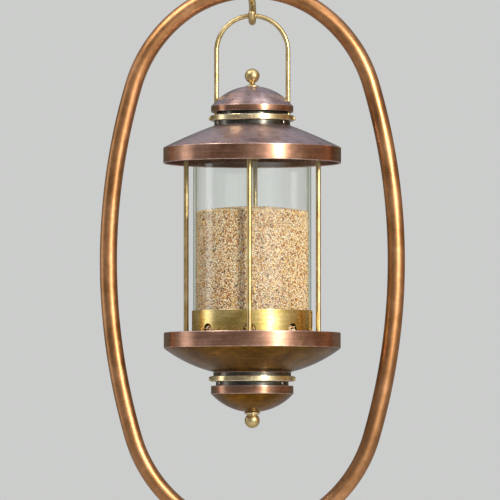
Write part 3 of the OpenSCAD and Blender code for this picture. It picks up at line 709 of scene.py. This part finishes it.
def build_stand():
    """Everything below the hoop but the two plain pole tubes."""
    piece("hoop_tee_casting", tee_mesh(), "stand", copper_cast, ["hoop_tee"])
    joint_low, joint_high = (v.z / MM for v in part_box("pole_coupling"))
    socket_low, socket_high = (v.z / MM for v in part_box("ground_socket"))
    sleeve_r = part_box("pole_coupling")[1].x / MM
    coupling = sleeve_mesh(joint_low, joint_high, TUBE_R + FIT, sleeve_r)
    piece("pole_coupling_sleeve", coupling, "stand", copper_cast, ["pole_coupling"])
    socket = sleeve_mesh(socket_low, socket_high, TUBE_R + FIT, sleeve_r, 4.0)
    piece("ground_socket_sleeve", socket, "stand", bronze, ["ground_socket"])
    quarter = (joint_high - joint_low) / 4
    heights = [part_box("hoop_tee")[0].z / MM + 25, joint_high - quarter, joint_low + quarter,
               socket_low + 0.7 * (socket_high - socket_low)]
    knob = knob_mesh(TUBE_R + 2 * FIT, sleeve_r + 5, sleeve_r + 10, 8, 2.95)
    to_front = Matrix.Rotation(-math.pi / 2, 4, "Z") @ LYING
    knobs = joined([(knob, Matrix.Translation((0, 0, z * MM)) @ to_front) for z in heights])
    knobs.shade_smooth()
    piece("thumb_screws", knobs, "stand", brass, ["pole_thumb_screws"])

    plate_end, plate_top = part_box("prong_plate")[1].x / MM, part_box("prong_plate")[1].z / MM
    prong_r = 4
    arm = 15
    circle = plate_end - arm
    quarter_outline = [(plate_end, -arm, 14.9), (plate_end, arm, 14.9), (arm, arm, 7)]
    cross = []
    for turn in range(4):
        c, q = ((1, 0), (0, 1), (-1, 0), (0, -1))[turn]
        cross += [(c * x - q * y, q * x + c * y, f) for x, y, f in quarter_outline]
    piece("step_plate", plate_mesh(cross, 0, plate_top, 0.9), "stand", bronze,
          ["prong_plate"])
    prong_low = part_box("ground_prongs")[0].z / MM
    prong = lathe_mesh([(0, prong_low, 0), (1.2, prong_low + 1, 0.8), (prong_r, prong_low + 20, 6),
                        (prong_r, plate_top, 0.1), (prong_r + 2, plate_top, 0.2),
                        (prong_r, plate_top + 2, 1.0), (0, plate_top + 2.4, 0)], False, 48)
    prongs = joined([(prong, m) for m in around(4, circle, 0)])
    prongs.shade_smooth()
    piece("prongs", prongs, "stand", bronze, ["ground_prongs"])
    spike_low, spike_high = (v.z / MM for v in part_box("centre_spike"))
    spike_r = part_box("centre_spike")[1].x / MM
    spike = lathe_mesh([(0, spike_low, 0), (1.6, spike_low + 1, 1.2), (spike_r, spike_low + 40, 14),
                        (spike_r, 0, 0.6), (spike_r - 1, 0, 0.1), (spike_r - 1, spike_high, 1.0),
                        (0, spike_high, 0)], False, 64)
    piece("ground_spike", spike, "stand", bronze, ["centre_spike"])


build_stand()


# ---- Hook ----

def hook_path(wire_r):
    """Lower loop from its tip, the strand that crosses over, and the upper loop to its tip."""
    low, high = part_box("s_hook")
    upper_r = (high.y - low.y) / 2 / MM - wire_r
    upper_z = joint_height("hook_sway") - upper_r
    lower_r = (0.96 * (upper_z - low.z / MM - wire_r) - upper_r) / 1.96
    lower_z = upper_z - (upper_r + lower_r) / 0.96
    cross = math.degrees(math.asin(0.28))
    tip = 6
    lower = arc((0, lower_z), lower_r, -180, 90 - cross, 1.0)
    upper = arc((0, upper_z), upper_r, 270 - cross, 0, 1.0)
    flat = chained(lower, line(lower[-1], upper[0], 1.0), upper,
                   line(upper[-1], (upper_r, upper_z - tip), 1.0))
    return [(0, y, z) for y, z in flat]


hook_r = (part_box("s_hook")[1].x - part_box("s_hook")[0].x) / 2 / MM
piece("hook_rod", tube_mesh(hook_path(hook_r), hook_r, 32, (1, 0, 0), 0.26), "hook",
      brass, ["s_hook"])


# ---- Feeder: bail, rings and neck ----

bail_low, bail_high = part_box("bail")
BAIL_WIRE_R = (bail_high.y - bail_low.y) / 2 / MM
BAIL_R = bail_high.x / MM - BAIL_WIRE_R
BAIL_ARCH_Z = joint_height("feeder_swing") - BAIL_R
bail_path = chained(line((-BAIL_R, bail_low.z / MM + 1), (-BAIL_R, BAIL_ARCH_Z), 2.0),
                    arc((0, BAIL_ARCH_Z), BAIL_R, 180, 0, 2.0),
                    line((BAIL_R, BAIL_ARCH_Z), (BAIL_R, bail_low.z / MM + 1), 2.0))
piece("bail_wire", tube_mesh([(x, 0, z) for x, z in bail_path], BAIL_WIRE_R, 32, end_round=0.3),
      "feeder", brass, ["bail"])


NECK_BORE_R, NECK_TUBE_R, NECK_BODY_R, NECK_FLANGE_H = 40, 41, 48.3, 1.5
SPOOL_BORE_R, SPOOL_BODY_R, SPOOL_HOLE_R, SPOOL_TOP_H = 40, 46.1, 3.1, 2


def ring_piece(name, node, bore_r):
    r, low, high = span(node)
    corners = [(bore_r, low, 0.3), (r, low, 0.9), (r, high, 0.9), (bore_r, high, 0.3)]
    piece(name, lathe_mesh(corners), "feeder", brass_ring, [node])


ring_piece("upper_brass_ring", "top_ring", NECK_TUBE_R + FIT)
ring_piece("lower_brass_ring", "bottom_ring", SPOOL_BODY_R + FIT)


def middle_z(node):
    return sum(span(node)[1:]) / 2


def screw_piece(name, node, mesh, count, seat_r, z, start=0.0):
    """Screws that point outwards all round, each with its recess turned its own way."""
    places = [m @ LYING @ Matrix.Rotation(rng.uniform(0, math.pi / 2), 4, "Z")
              for m in around(count, seat_r, z, start)]
    slot, look = ("aged_brass", brass) if mesh is pan_head else ("plain_steel", steel)
    piece(name, joined([(mesh, place) for place in places]), "feeder", look, [node])


RING_R = span("top_ring")[0]
NECK_SCREW_TURN, SPOOL_SCREW_TURN = math.radians(-32), math.radians(208)
pan_head = screw_mesh(2.6, 2.1, 1.6, 4, "cross")
cap_head = screw_mesh(2.0, 1.2, 1.2, 3, "hexagon")
screw_piece("upper_ring_screws", "top_ring_screws", pan_head, 4, RING_R, middle_z("top_ring"))
screw_piece("lower_ring_screws", "bottom_ring_screws", pan_head, 4, RING_R, middle_z("bottom_ring"))
screw_piece("neck_set_screws", "neck_side_screws", cap_head, 3, NECK_BODY_R, middle_z("neck_side_screws"),
            NECK_SCREW_TURN)
screw_piece("spool_set_screws", "spool_side_screws", cap_head, 3, SPOOL_BODY_R, middle_z("spool_side_screws"),
            SPOOL_SCREW_TURN)

neck_r, neck_low, neck_high = span("filler_neck")
ring_low = span("top_ring")[1]
roof_r, roof_low, roof_high = span("roof")
piece("filling_collar", lathe_mesh([
    (NECK_BORE_R, neck_low, 0.2), (neck_r, neck_low, 0.3), (neck_r, neck_low + NECK_FLANGE_H, 0.3),
    (NECK_TUBE_R, neck_low + NECK_FLANGE_H, 0.3), (NECK_TUBE_R, roof_high, 0), (NECK_BODY_R, roof_high, 0.4),
    (NECK_BODY_R, ring_low, 0.5), (NECK_TUBE_R, ring_low, 0.1), (NECK_TUBE_R, neck_high, 0.4),
    (NECK_BORE_R, neck_high, 0.4)]), "feeder", dark_metal, ["filler_neck"])


# ---- Feeder: roof and tray ----

BAND_H = 19.8
SHEET_HOLE_R = 3.2  # hole for the centre bolt in the tray and the cap
FINIAL_SEAT_R = 11  # flat on the cap and the lid, where a finial sits
roof_outer = [(NECK_TUBE_R + 0.1, roof_high, 0.2)]
roof_outer += bow((48.8, roof_high), (roof_r - 1.6, roof_low + BAND_H + 0.9), 0.9)
roof_outer += [(roof_r, roof_low + BAND_H - 0.2, 0.9)]
roof_inner = sheet_outline(roof_outer + [(roof_r, roof_low, 0)])[len(roof_outer) + 1:]
roof_hem = [(roof_r, roof_low, HEM), (roof_r - 2 * HEM, roof_low, HEM), (roof_r - 2 * HEM, roof_low + 3, 0.6),
            (roof_r - SHEET, roof_low + 3.8, 0.4)]
piece("roof_shell", lathe_mesh(roof_outer + roof_hem + roof_inner[1:], steps=220), "feeder",
      spun_copper, ["roof"])

tray_outer = [(SHEET_HOLE_R, BOWL_FLOOR_Z, 0.2), (49.4, BOWL_FLOOR_Z, 0.3), (50.1, BOWL_FLOOR_Z + 1.3, 2.0)]
tray_outer += bow((53.4, BOWL_FLOOR_Z + 2.0), (TRAY_R - 1.3, DATUM - 0.9), -3.0)
tray_outer += [(TRAY_R, DATUM + 0.5, 0.9)]
tray_run = (tray_outer + [(TRAY_R, TRAY_TOP, 0)])[::-1]
tray_inner = sheet_outline(tray_run)[len(tray_run):][::-1]
tray_hem = [(TRAY_R, TRAY_TOP, HEM), (TRAY_R - 2 * HEM, TRAY_TOP, HEM), (TRAY_R - 2 * HEM, TRAY_TOP - 3, 0.6),
            (TRAY_R - SHEET, TRAY_TOP - 3.8, 0.4)]
piece("tray_shell", lathe_mesh(tray_outer + tray_hem + tray_inner[1:], steps=220), "feeder",
      spun_copper, ["tray"])


# ---- Feeder: spool, cap and lower finial ----

spool_r, spool_low, spool_high = span("bottom_spool")
lower_ring_top = span("bottom_ring")[2]
piece("tray_spool", lathe_mesh([
    (SPOOL_HOLE_R, spool_high, 0), (spool_r, spool_high, 0.2), (spool_r, lower_ring_top, 0.5),
    (SPOOL_BODY_R, lower_ring_top, 0.2), (SPOOL_BODY_R, spool_low, 0.3), (SPOOL_BORE_R, spool_low, 0.3),
    (SPOOL_BORE_R, spool_high - SPOOL_TOP_H, 0.5), (SPOOL_HOLE_R, spool_high - SPOOL_TOP_H, 0)]),
    "feeder", dark_metal, ["bottom_spool"])

cap_r, _, cap_high = span("bottom_cap")
CAP_DOME_R, CAP_RIM_H, CAP_DROP = 70, 10.3, 81
cap_centre = DATUM - CAP_DROP + CAP_DOME_R
cap_land = cap_centre - math.sqrt(CAP_DOME_R ** 2 - FINIAL_SEAT_R ** 2)
cap_outer = [(44, cap_high, 0.2), (cap_r, cap_high, 1.3), (cap_r, cap_high - CAP_RIM_H, 0.8)]
cap_outer += dome(CAP_DOME_R, cap_centre, 51, FINIAL_SEAT_R, half=-1) + [(SHEET_HOLE_R, cap_land, 0)]
piece("lower_cap", lathe_mesh(sheet_outline(cap_outer)), "feeder", spun_copper,
      ["bottom_cap"])


def ball(radius, centre_z, from_deg, to_deg, steps=18):
    """Points down or up a ball's side, angles from the lowest point."""
    return [(radius * math.sin(math.radians(a)), centre_z - radius * math.cos(math.radians(a)), 0)
            for a in np.linspace(from_deg, to_deg, steps + 1)]


finial_r, finial_low, finial_high = span("bottom_finial")
LOWER_BALL_R, UPPER_BALL_R = 9.6, 9.5
lower_finial = ball(LOWER_BALL_R, finial_low + LOWER_BALL_R, 0, 135) + [
    (6.6, finial_high - 3.9, 0.4), (finial_r - 0.6, finial_high - 3.5, 1.2),
    (finial_r, finial_high - 1.7, 1.0), (finial_r - 0.8, finial_high, 1.0), (0, finial_high, 0)]
piece("lower_finial", lathe_mesh(lower_finial, False, 96), "feeder", brass,
      ["bottom_finial"])


# ---- Feeder: rods, glass, seed collar ----

ROD_END = 0.6  # left at each end of a rod for its rounding
for side in ("front", "right", "back", "left"):
    low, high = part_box(f"tie_rod_{side}")
    x, y = ((low + high) / 2 / MM).xy
    rod_r = (high.x - low.x) / 2 / MM
    rod_top = high.z / MM - ROD_END
    rod_path = [(x, y, z) for z in np.arange(low.z / MM + ROD_END, rod_top, 6.0)] + [(x, y, rod_top)]
    rod = tube_mesh(rod_path, rod_r, 28, end_round=0.18)
    piece(f"rod_{side}", rod, "feeder", brass, [f"tie_rod_{side}"])

NUT_FLATS, WASHER_R, WASHER_H = 11.1, 7, 1  # flats are the width across them


def clamp_pieces(end):
    """Nuts and washers above and below a plate, on all four rods. end is upper or lower."""
    _, nut_low, nut_high = span(f"{end}_rod_nuts")
    _, washer_low, washer_high = span(f"{end}_rod_washers")
    nut_h = washer_low - nut_low
    bore_r = rod_r + FIT
    nut = nut_mesh(NUT_FLATS, nut_h, bore_r)
    washer = lathe_mesh([(bore_r, 0, 0.2), (WASHER_R, 0, 0.25), (WASHER_R, WASHER_H, 0.25),
                         (bore_r, WASHER_H, 0.2)], steps=64)
    kinds = (("hex_rod_nuts", "rod_nuts", nut, (nut_low, nut_high - nut_h)),
             ("flat_washers", "rod_washers", washer, (washer_low, washer_high - WASHER_H)))
    for name, node, mesh, heights in kinds:
        places = [m @ Matrix.Rotation(rng.uniform(0, 1), 4, "Z") for z in heights
                  for m in around(4, ROD_CIRCLE_R, z)]
        clamps = joined([(mesh, m) for m in places])
        piece(f"{end}_{name}", clamps, "feeder", brass, [f"{end}_{node}"])


clamp_pieces("upper")
clamp_pieces("lower")

glass_r, glass_low, glass_high = span("glass_tube")
GLASS_WALL = 3
glass_in = glass_r - GLASS_WALL
piece("glass_cylinder", lathe_mesh([
    (glass_in, glass_low, 1.0), (glass_r, glass_low, 1.0), (glass_r, glass_high, 1.0),
    (glass_in, glass_high, 1.0)], steps=192), "feeder", glass, ["glass_tube"])

collar_r, collar_low, collar_high = span("seed_collar")
COLLAR_WALL = 1.2
collar_in = collar_r - COLLAR_WALL
LEDGE_R, LEDGE_LOW, LEDGE_HIGH = 68, DATUM + 31, DATUM + 33  # ledge in the collar, under the glass
collar_face = [(collar_r, z, 0) for z in np.linspace(collar_low + 2, collar_high - 2, 12)]
collar_mesh = lathe_mesh([
    (collar_in, collar_low, 0.2), (collar_r, collar_low, 0.3), *collar_face, (collar_r, collar_high, 0.45),
    (collar_in, collar_high, 0.45), (collar_in, LEDGE_HIGH, 0.2), (LEDGE_R, LEDGE_HIGH, 0.3),
    (LEDGE_R, LEDGE_LOW, 0.3), (collar_in, LEDGE_LOW, 0.2)], steps=192)


def drill(radius, start, end, turn, z):
    """Cutter: a round bar along a radius of the feeder."""
    way = np.array([math.cos(turn), math.sin(turn), 0])
    side = np.array([-way[1], way[0], 0])
    path = [way * start + [0, 0, z], way * (start + end) / 2 + [0, 0, z], way * end + [0, 0, z]]
    return tube_mesh(path, radius, 48, side, 0.05)


outlet_turns = [k * 2 * math.pi / OUTLET_COUNT for k in range(OUTLET_COUNT)]
drills = [drill(OUTLET_R, 70, 84, a, OUTLET_Z) for a in outlet_turns]
piece("collar_band", cut(collar_mesh, *drills), "feeder", brass_collar, ["seed_collar"])


# ---- Feeder: seed ----

def grain_mesh(places, walls=None):
    """Loose grains of mixed kinds, centred on the places (mm) and turned at random. Where walls gives a
    radius for each grain, it is moved in or out until its outermost point touches that radius."""
    count = len(places)
    turns = np.arange(6) * math.pi / 3
    belt_r, belt_z, twist = 0.87, 0.5, 0.5
    unit = [(0, 0, 1)] + [(belt_r * math.cos(a), belt_r * math.sin(a), belt_z) for a in turns]
    unit += [(belt_r * math.cos(a + twist), belt_r * math.sin(a + twist), -belt_z) for a in turns]
    unit += [(0, 0, -1)]
    faces = []
    for f in skin([[13], list(range(7, 13)), list(range(1, 7)), [0]], False):
        faces += [f] if len(f) == 3 else [(f[0], f[1], f[2]), (f[0], f[2], f[3])]
    shares = np.array([kind[0] for kind in SEED_KINDS])
    kinds = rng.choice(len(SEED_KINDS), count, p=shares / shares.sum())
    axes = np.array([kind[1] for kind in SEED_KINDS])[kinds] * rng.uniform(0.86, 1.12, (count, 3))
    tones = np.array([kind[2] for kind in SEED_KINDS])[kinds]
    tint = tones[:, 0] + (tones[:, 1] - tones[:, 0]) * rng.random(count)
    q = rng.normal(size=(count, 4))
    w, x, y, z = (q / np.linalg.norm(q, axis=1)[:, None]).T
    spin = np.array([[1 - 2 * (y * y + z * z), 2 * (x * y - w * z), 2 * (x * z + w * y)],
                     [2 * (x * y + w * z), 1 - 2 * (x * x + z * z), 2 * (y * z - w * x)],
                     [2 * (x * z - w * y), 2 * (y * z + w * x), 1 - 2 * (x * x + y * y)]]).transpose(2, 0, 1)
    places = np.array(places, float)
    if walls is not None:
        outward = places * [1, 1, 0]
        outward /= np.linalg.norm(outward, axis=1)[:, None]
        reach = np.linalg.norm(np.einsum("nji,nj->ni", spin, outward) * axes, axis=1)
        places = outward * (walls - reach)[:, None] + places * [0, 0, 1]
    points = np.einsum("nij,nkj->nki", spin, np.array(unit)[None] * axes[:, None]) + places[:, None]
    triangles = np.array(faces)[None] + np.arange(count)[:, None, None] * len(unit)
    return make_mesh(points.reshape(-1, 3) * MM, triangles.reshape(-1, 3).tolist(),
               tint=np.repeat(tint, len(unit)))


SEED_EDGE_Z = DATUM + 172.6
SEED_IN = glass_in - 0.1
MOUND_H = 6.4


def mound_z(r):
    """Height of the seed's surface in the tube, a low mound."""
    return SEED_EDGE_Z + MOUND_H * (1 - (r / SEED_IN) ** 2)


WALL_ROW_STEP = 1.72


def polar(radii, angles, heights):
    return np.stack([radii * np.cos(angles), radii * np.sin(angles), heights], axis=1)


def wall_grains(name, first_z, row_count):
    """Rows of grains that lie against the glass, from a height upwards."""
    column_step = 2.0
    rows = first_z + WALL_ROW_STEP * np.arange(row_count)
    columns = int(2 * math.pi * SEED_IN / column_step)
    angles = np.tile(np.arange(columns), len(rows)) + np.repeat(np.arange(len(rows)) % 2 * 0.5, columns)
    angles = (angles + rng.uniform(-0.35, 0.35, len(angles))) * 2 * math.pi / columns
    heights = np.repeat(rows, columns) + rng.uniform(-0.6, 0.6, len(angles))
    places = polar(SEED_IN, angles, heights)
    walls = SEED_IN - rng.random(len(places)) ** 2 * 0.9
    piece(name, grain_mesh(places, walls), "feeder", husk)


def spread(count, r0, r1):
    """Even points on a ring-shaped area."""
    k = np.arange(count) + 0.5
    radii = np.sqrt(r0 ** 2 + (r1 ** 2 - r0 ** 2) * k / count) + rng.uniform(-0.3, 0.3, count)
    return radii, k * math.pi * (3 - math.sqrt(5)) + rng.uniform(-0.01, 0.01, count)


def mound_grains():
    radii, angles = spread(4600, 0, SEED_IN - 1.4)
    heights = mound_z(radii) + rng.uniform(-1.0, 0.3, len(radii))
    places = polar(radii, angles, heights)
    piece("seed_mound_grains", grain_mesh(places), "feeder", husk)


HEAP_IN, HEAP_OUT = collar_r + 0.4, 96
FLOOR_TOP = span("tray_floor")[2]


def heap_z(r, a):
    """Height of the seed in the tray: it falls away from the collar, and a cone lies under each outlet."""
    slope = math.tan(math.radians(36))
    base = FLOOR_TOP + 0.4 + 8.0 * np.clip((HEAP_OUT - r) / (HEAP_OUT - HEAP_IN), 0, 1) ** 1.4
    step = 2 * math.pi / OUTLET_COUNT
    k = np.round(a / step)
    apex = np.array([21.5, 23.5, 19.5, 22.5, 22.0, 20.5, 19.0, 24.0])[k.astype(int) % OUTLET_COUNT]
    away = np.hypot(r * np.cos(a - k * step) - HEAP_IN + 1, r * np.sin(a - k * step))
    return np.maximum(base, DATUM + apex - 3 - slope * np.maximum(away - 4, 0))


def heap_grains():
    radii, angles = spread(4400, HEAP_IN + 1, HEAP_OUT + 1)
    heights = heap_z(radii, angles) + rng.uniform(-0.7, 0.5, len(radii))
    places = polar(radii, angles, heights)
    rods = np.array([(ROD_CIRCLE_R * math.cos(a), ROD_CIRCLE_R * math.sin(a))
                     for a in np.arange(4) * math.pi / 2])
    gap = np.linalg.norm(places[:, None, :2] - rods[None], axis=2).min(axis=1)
    over_nuts = heights > span("lower_rod_nuts")[2] + 1.5
    places = places[(gap > 9) | (over_nuts & (gap > rod_r + 1.6))]
    mouths = []
    for a in outlet_turns:
        count = 60
        depth = rng.uniform(collar_r - 9, collar_r - 0.6, count)
        side = rng.uniform(-OUTLET_R + 1.2, OUTLET_R - 1.2, count)
        top = np.sqrt(OUTLET_R ** 2 - side ** 2)
        rise = (top * 1.45 - 0.8) * rng.random(count) ** 0.6
        fill = OUTLET_Z - top + 0.8 + rise + (collar_r - depth) * 0.35
        x, y = depth * math.cos(a) - side * math.sin(a), depth * math.sin(a) + side * math.cos(a)
        mouths.append(np.stack([x, y, np.minimum(fill, DATUM + 29.6)], axis=1))
    places = np.concatenate([places, *mouths])
    piece("seed_tray_grains", grain_mesh(places), "feeder", husk)


def build_seed():
    """Two dull cores with grains all over them."""
    bed_z = span("seed_fill")[1]
    core_r = SEED_IN - 1.7
    ledge_r = 67.7
    core = [(0, bed_z + 30, 0), (6, bed_z + 30, 0), (66, bed_z + 0.2, 0), (72, bed_z + 0.2, 0),
            (ledge_r, DATUM + 30, 0), (ledge_r, DATUM + 35, 0), (core_r, DATUM + 35.6, 0)]
    core += [(r, mound_z(r) - 1.2, 0) for r in np.linspace(core_r, 0, 14)]
    piece("seed_core", lathe_mesh(core, False, 128), "feeder", seed_bed, ["seed_fill"])
    lowest, rows_each = DATUM + 36.2, 27
    for k, level in enumerate(("low", "middle", "high")):
        wall_grains(f"seed_grains_{level}", lowest + k * rows_each * WALL_ROW_STEP, rows_each - (k == 2))
    mound_grains()

    def heaped(r, z, a):
        return (r, float(heap_z(r, np.float64(a))) - 1.0) if z > FLOOR_TOP + 1 else (r, z)

    top = [(r, FLOOR_TOP + 2, 0) for r in np.linspace(HEAP_OUT - 0.5, HEAP_IN, 12)]
    heap = [(HEAP_IN, FLOOR_TOP + 0.1, 0), (HEAP_OUT, FLOOR_TOP + 0.1, 0)] + top
    bed = lathe_mesh(heap, True, 192, heaped)
    piece("seed_tray_bed", bed, "feeder", seed_bed, ["tray_seed"])
    heap_grains()


build_seed()


# ---- Lid ----

lid_r, lid_low, lid_high = span("lid")
LID_DOME_R, LID_RIM_H = 65, 7.6
lid_centre = lid_high - math.sqrt(LID_DOME_R ** 2 - FINIAL_SEAT_R ** 2)
lid_outer = [(2.7, lid_high, 0)] + dome(LID_DOME_R, lid_centre, FINIAL_SEAT_R, 50.6)
lid_outer += [(lid_r, lid_low + LID_RIM_H, 0.8), (lid_r, lid_low, 0.5)]
lid_mesh = lathe_mesh(sheet_outline(lid_outer), steps=200)
hole_paths = [[(s * BAIL_R, 0, z) for z in (lid_low - 5, lid_low + 10, lid_low + 30)] for s in (-1, 1)]
hole_tools = [tube_mesh(p, BAIL_WIRE_R + 0.9, 48, end_round=0.05) for p in hole_paths]
piece("lid_dome", cut(lid_mesh, *hole_tools), "lid", spun_copper, ["lid"])

_, top_low, top_high = span("lid_finial")
upper_finial = [(0, top_low, 0), (2.5, top_low, 0.3), (2.5, lid_high, 0), (8.9, lid_high, 0.2),
                (8.9, lid_high + 1.1, 0.5), (4.4, lid_high + 2.7, 2.2), (2.9, lid_high + 5.0, 0.8)]
upper_finial += ball(UPPER_BALL_R, top_high - UPPER_BALL_R, 19, 180)
upper_finial[-1] = (0, top_high, 0)
piece("upper_finial", lathe_mesh(upper_finial, False, 96), "lid", brass,
      ["lid_finial"])


# ---- Camera, light, floor ----

def aimed(thing, azimuth, elevation, distance, target):
    a, e = math.radians(azimuth), math.radians(elevation)
    away = Vector((math.sin(a) * math.cos(e), -math.cos(a) * math.cos(e), math.sin(e)))
    thing.location = Vector(target) + away * distance
    thing.rotation_euler = (-away).to_track_quat("-Z", "Y").to_euler()


def softbox(name, azimuth, elevation, distance, width, height, watts, colour):
    light = bpy.data.lights.new(name, "AREA")
    light.shape = "RECTANGLE"
    light.size, light.size_y = width, height
    light.energy = watts
    light.color = colour
    lamp = bpy.data.objects.new(name, light)
    bpy.context.scene.collection.objects.link(lamp)
    lamp.visible_camera = False
    aimed(lamp, azimuth, elevation, distance, FEEDER_MIDDLE)


FEEDER_MIDDLE = (0, 0, (DATUM + 125) * MM)
camera = bpy.data.objects.new("camera", bpy.data.cameras.new("camera"))
bpy.context.scene.collection.objects.link(camera)
VIEW_WIDTH, VIEW_DISTANCE = 0.635, 8.0
VIEW_AZIMUTH, VIEW_ELEVATION, VIEW_X = 2.5, -2.3, -0.0028
camera.data.lens = camera.data.sensor_width * VIEW_DISTANCE / VIEW_WIDTH
camera.data.clip_end = 200
aimed(camera, VIEW_AZIMUTH, VIEW_ELEVATION, VIEW_DISTANCE, (VIEW_X, 0, FEEDER_MIDDLE[2]))
bpy.context.scene.camera = camera

# Each light: azimuth and elevation in degrees, distance, width and height in metres, watts, colour.
softbox("key", 37, 16, 3.2, 0.42, 0.6, 92, (1.0, 0.95, 0.88))
softbox("fill", -60, 52, 2.6, 1.0, 1.0, 34, (1.0, 0.93, 0.82))
softbox("left", -92, 4, 2.6, 0.8, 1.9, 9, (0.95, 0.97, 1.0))
softbox("top", 50, 66, 2.5, 1.6, 1.6, 18, (0.95, 0.96, 1.0))
softbox("right", 112, 4, 3.0, 1.2, 1.6, 1.0, (1.0, 0.55, 0.2))


# What the metal mirrors round the object, by azimuth in degrees from the front to the right.
ROOM = [(-180, (0.12, 0.13, 0.09)), (-140, (0.14, 0.14, 0.08)), (-112, (0.26, 0.25, 0.20)),
        (-70, (0.28, 0.30, 0.32)), (-48, (0.12, 0.11, 0.10)), (-25, (0.16, 0.14, 0.12)),
        (-6, (0.42, 0.40, 0.37)), (14, (0.9, 0.9, 0.87)), (38, (1.7, 1.7, 1.65)),
        (58, (1.25, 1.25, 1.2)), (72, (0.58, 0.46, 0.28)), (88, (0.34, 0.21, 0.08)),
        (112, (0.25, 0.13, 0.03)), (135, (0.18, 0.12, 0.05)), (180, (0.12, 0.13, 0.09))]


def build_world():
    """Plain pale backdrop. What the metal mirrors is a soft room, bright behind the key and pale above."""
    world = bpy.data.worlds.new("studio")
    bpy.context.scene.world = world
    world.use_nodes = True
    tree = world.node_tree
    tree.nodes.clear()
    way = add(tree, "SeparateXYZ", {"Vector": add(tree, "TexCoord").outputs["Generated"]})
    toward = add(tree, "Math", {0: way.outputs["Y"], 1: -1.0}, operation="MULTIPLY").outputs[0]
    azimuth = add(tree, "Math", {0: way.outputs["X"], 1: toward}, operation="ARCTAN2").outputs[0]
    walls = ramp(tree, scaled(tree, azimuth, 0, 1, -math.pi, math.pi), [(0.5 + a / 360, c) for a, c in ROOM])
    room = mixed(tree, scaled(tree, way.outputs["Z"], 0, 1, 0.15, 0.6), walls, (0.48, 0.50, 0.58))
    seen = add(tree, "LightPath").outputs["Is Camera Ray"]
    colour = mixed(tree, seen, room, (0.60, 0.61, 0.60))
    shade = add(tree, "Background", {"Color": colour, "Strength": 1.0})
    add(tree, "OutputWorld", {"Surface": shade.outputs["Background"]})


build_world()
bpy.context.scene.view_settings.view_transform = "Standard"

FLOOR_SIZE = 40
floor_z = cad_box[0].z - 0.002
floor_mesh = bpy.data.meshes.new("floor")
floor_corners = [(x * FLOOR_SIZE, y * FLOOR_SIZE, floor_z) for x, y in ((-1, -1), (1, -1), (1, 1), (-1, 1))]
floor_mesh.from_pydata(floor_corners, [], [(0, 1, 2, 3)])
floor = bpy.data.objects.new("floor", floor_mesh)
bpy.context.scene.collection.objects.link(floor)
floor.data.materials.append(plain("floor_paper", (0.66, 0.65, 0.62), (0.72, 0.71, 0.68), 0.9, 3))


# ---- Finishes of the CAD nodes that show ----

for row in frame["record"]["subparts"]:
    node = frame["nodes"][row["node"]]
    if not node.hide_render and row["material_slot"] in CAD_LOOKS:
        node.data.materials.clear()
        node.data.materials.append(CAD_LOOKS[row["material_slot"]])
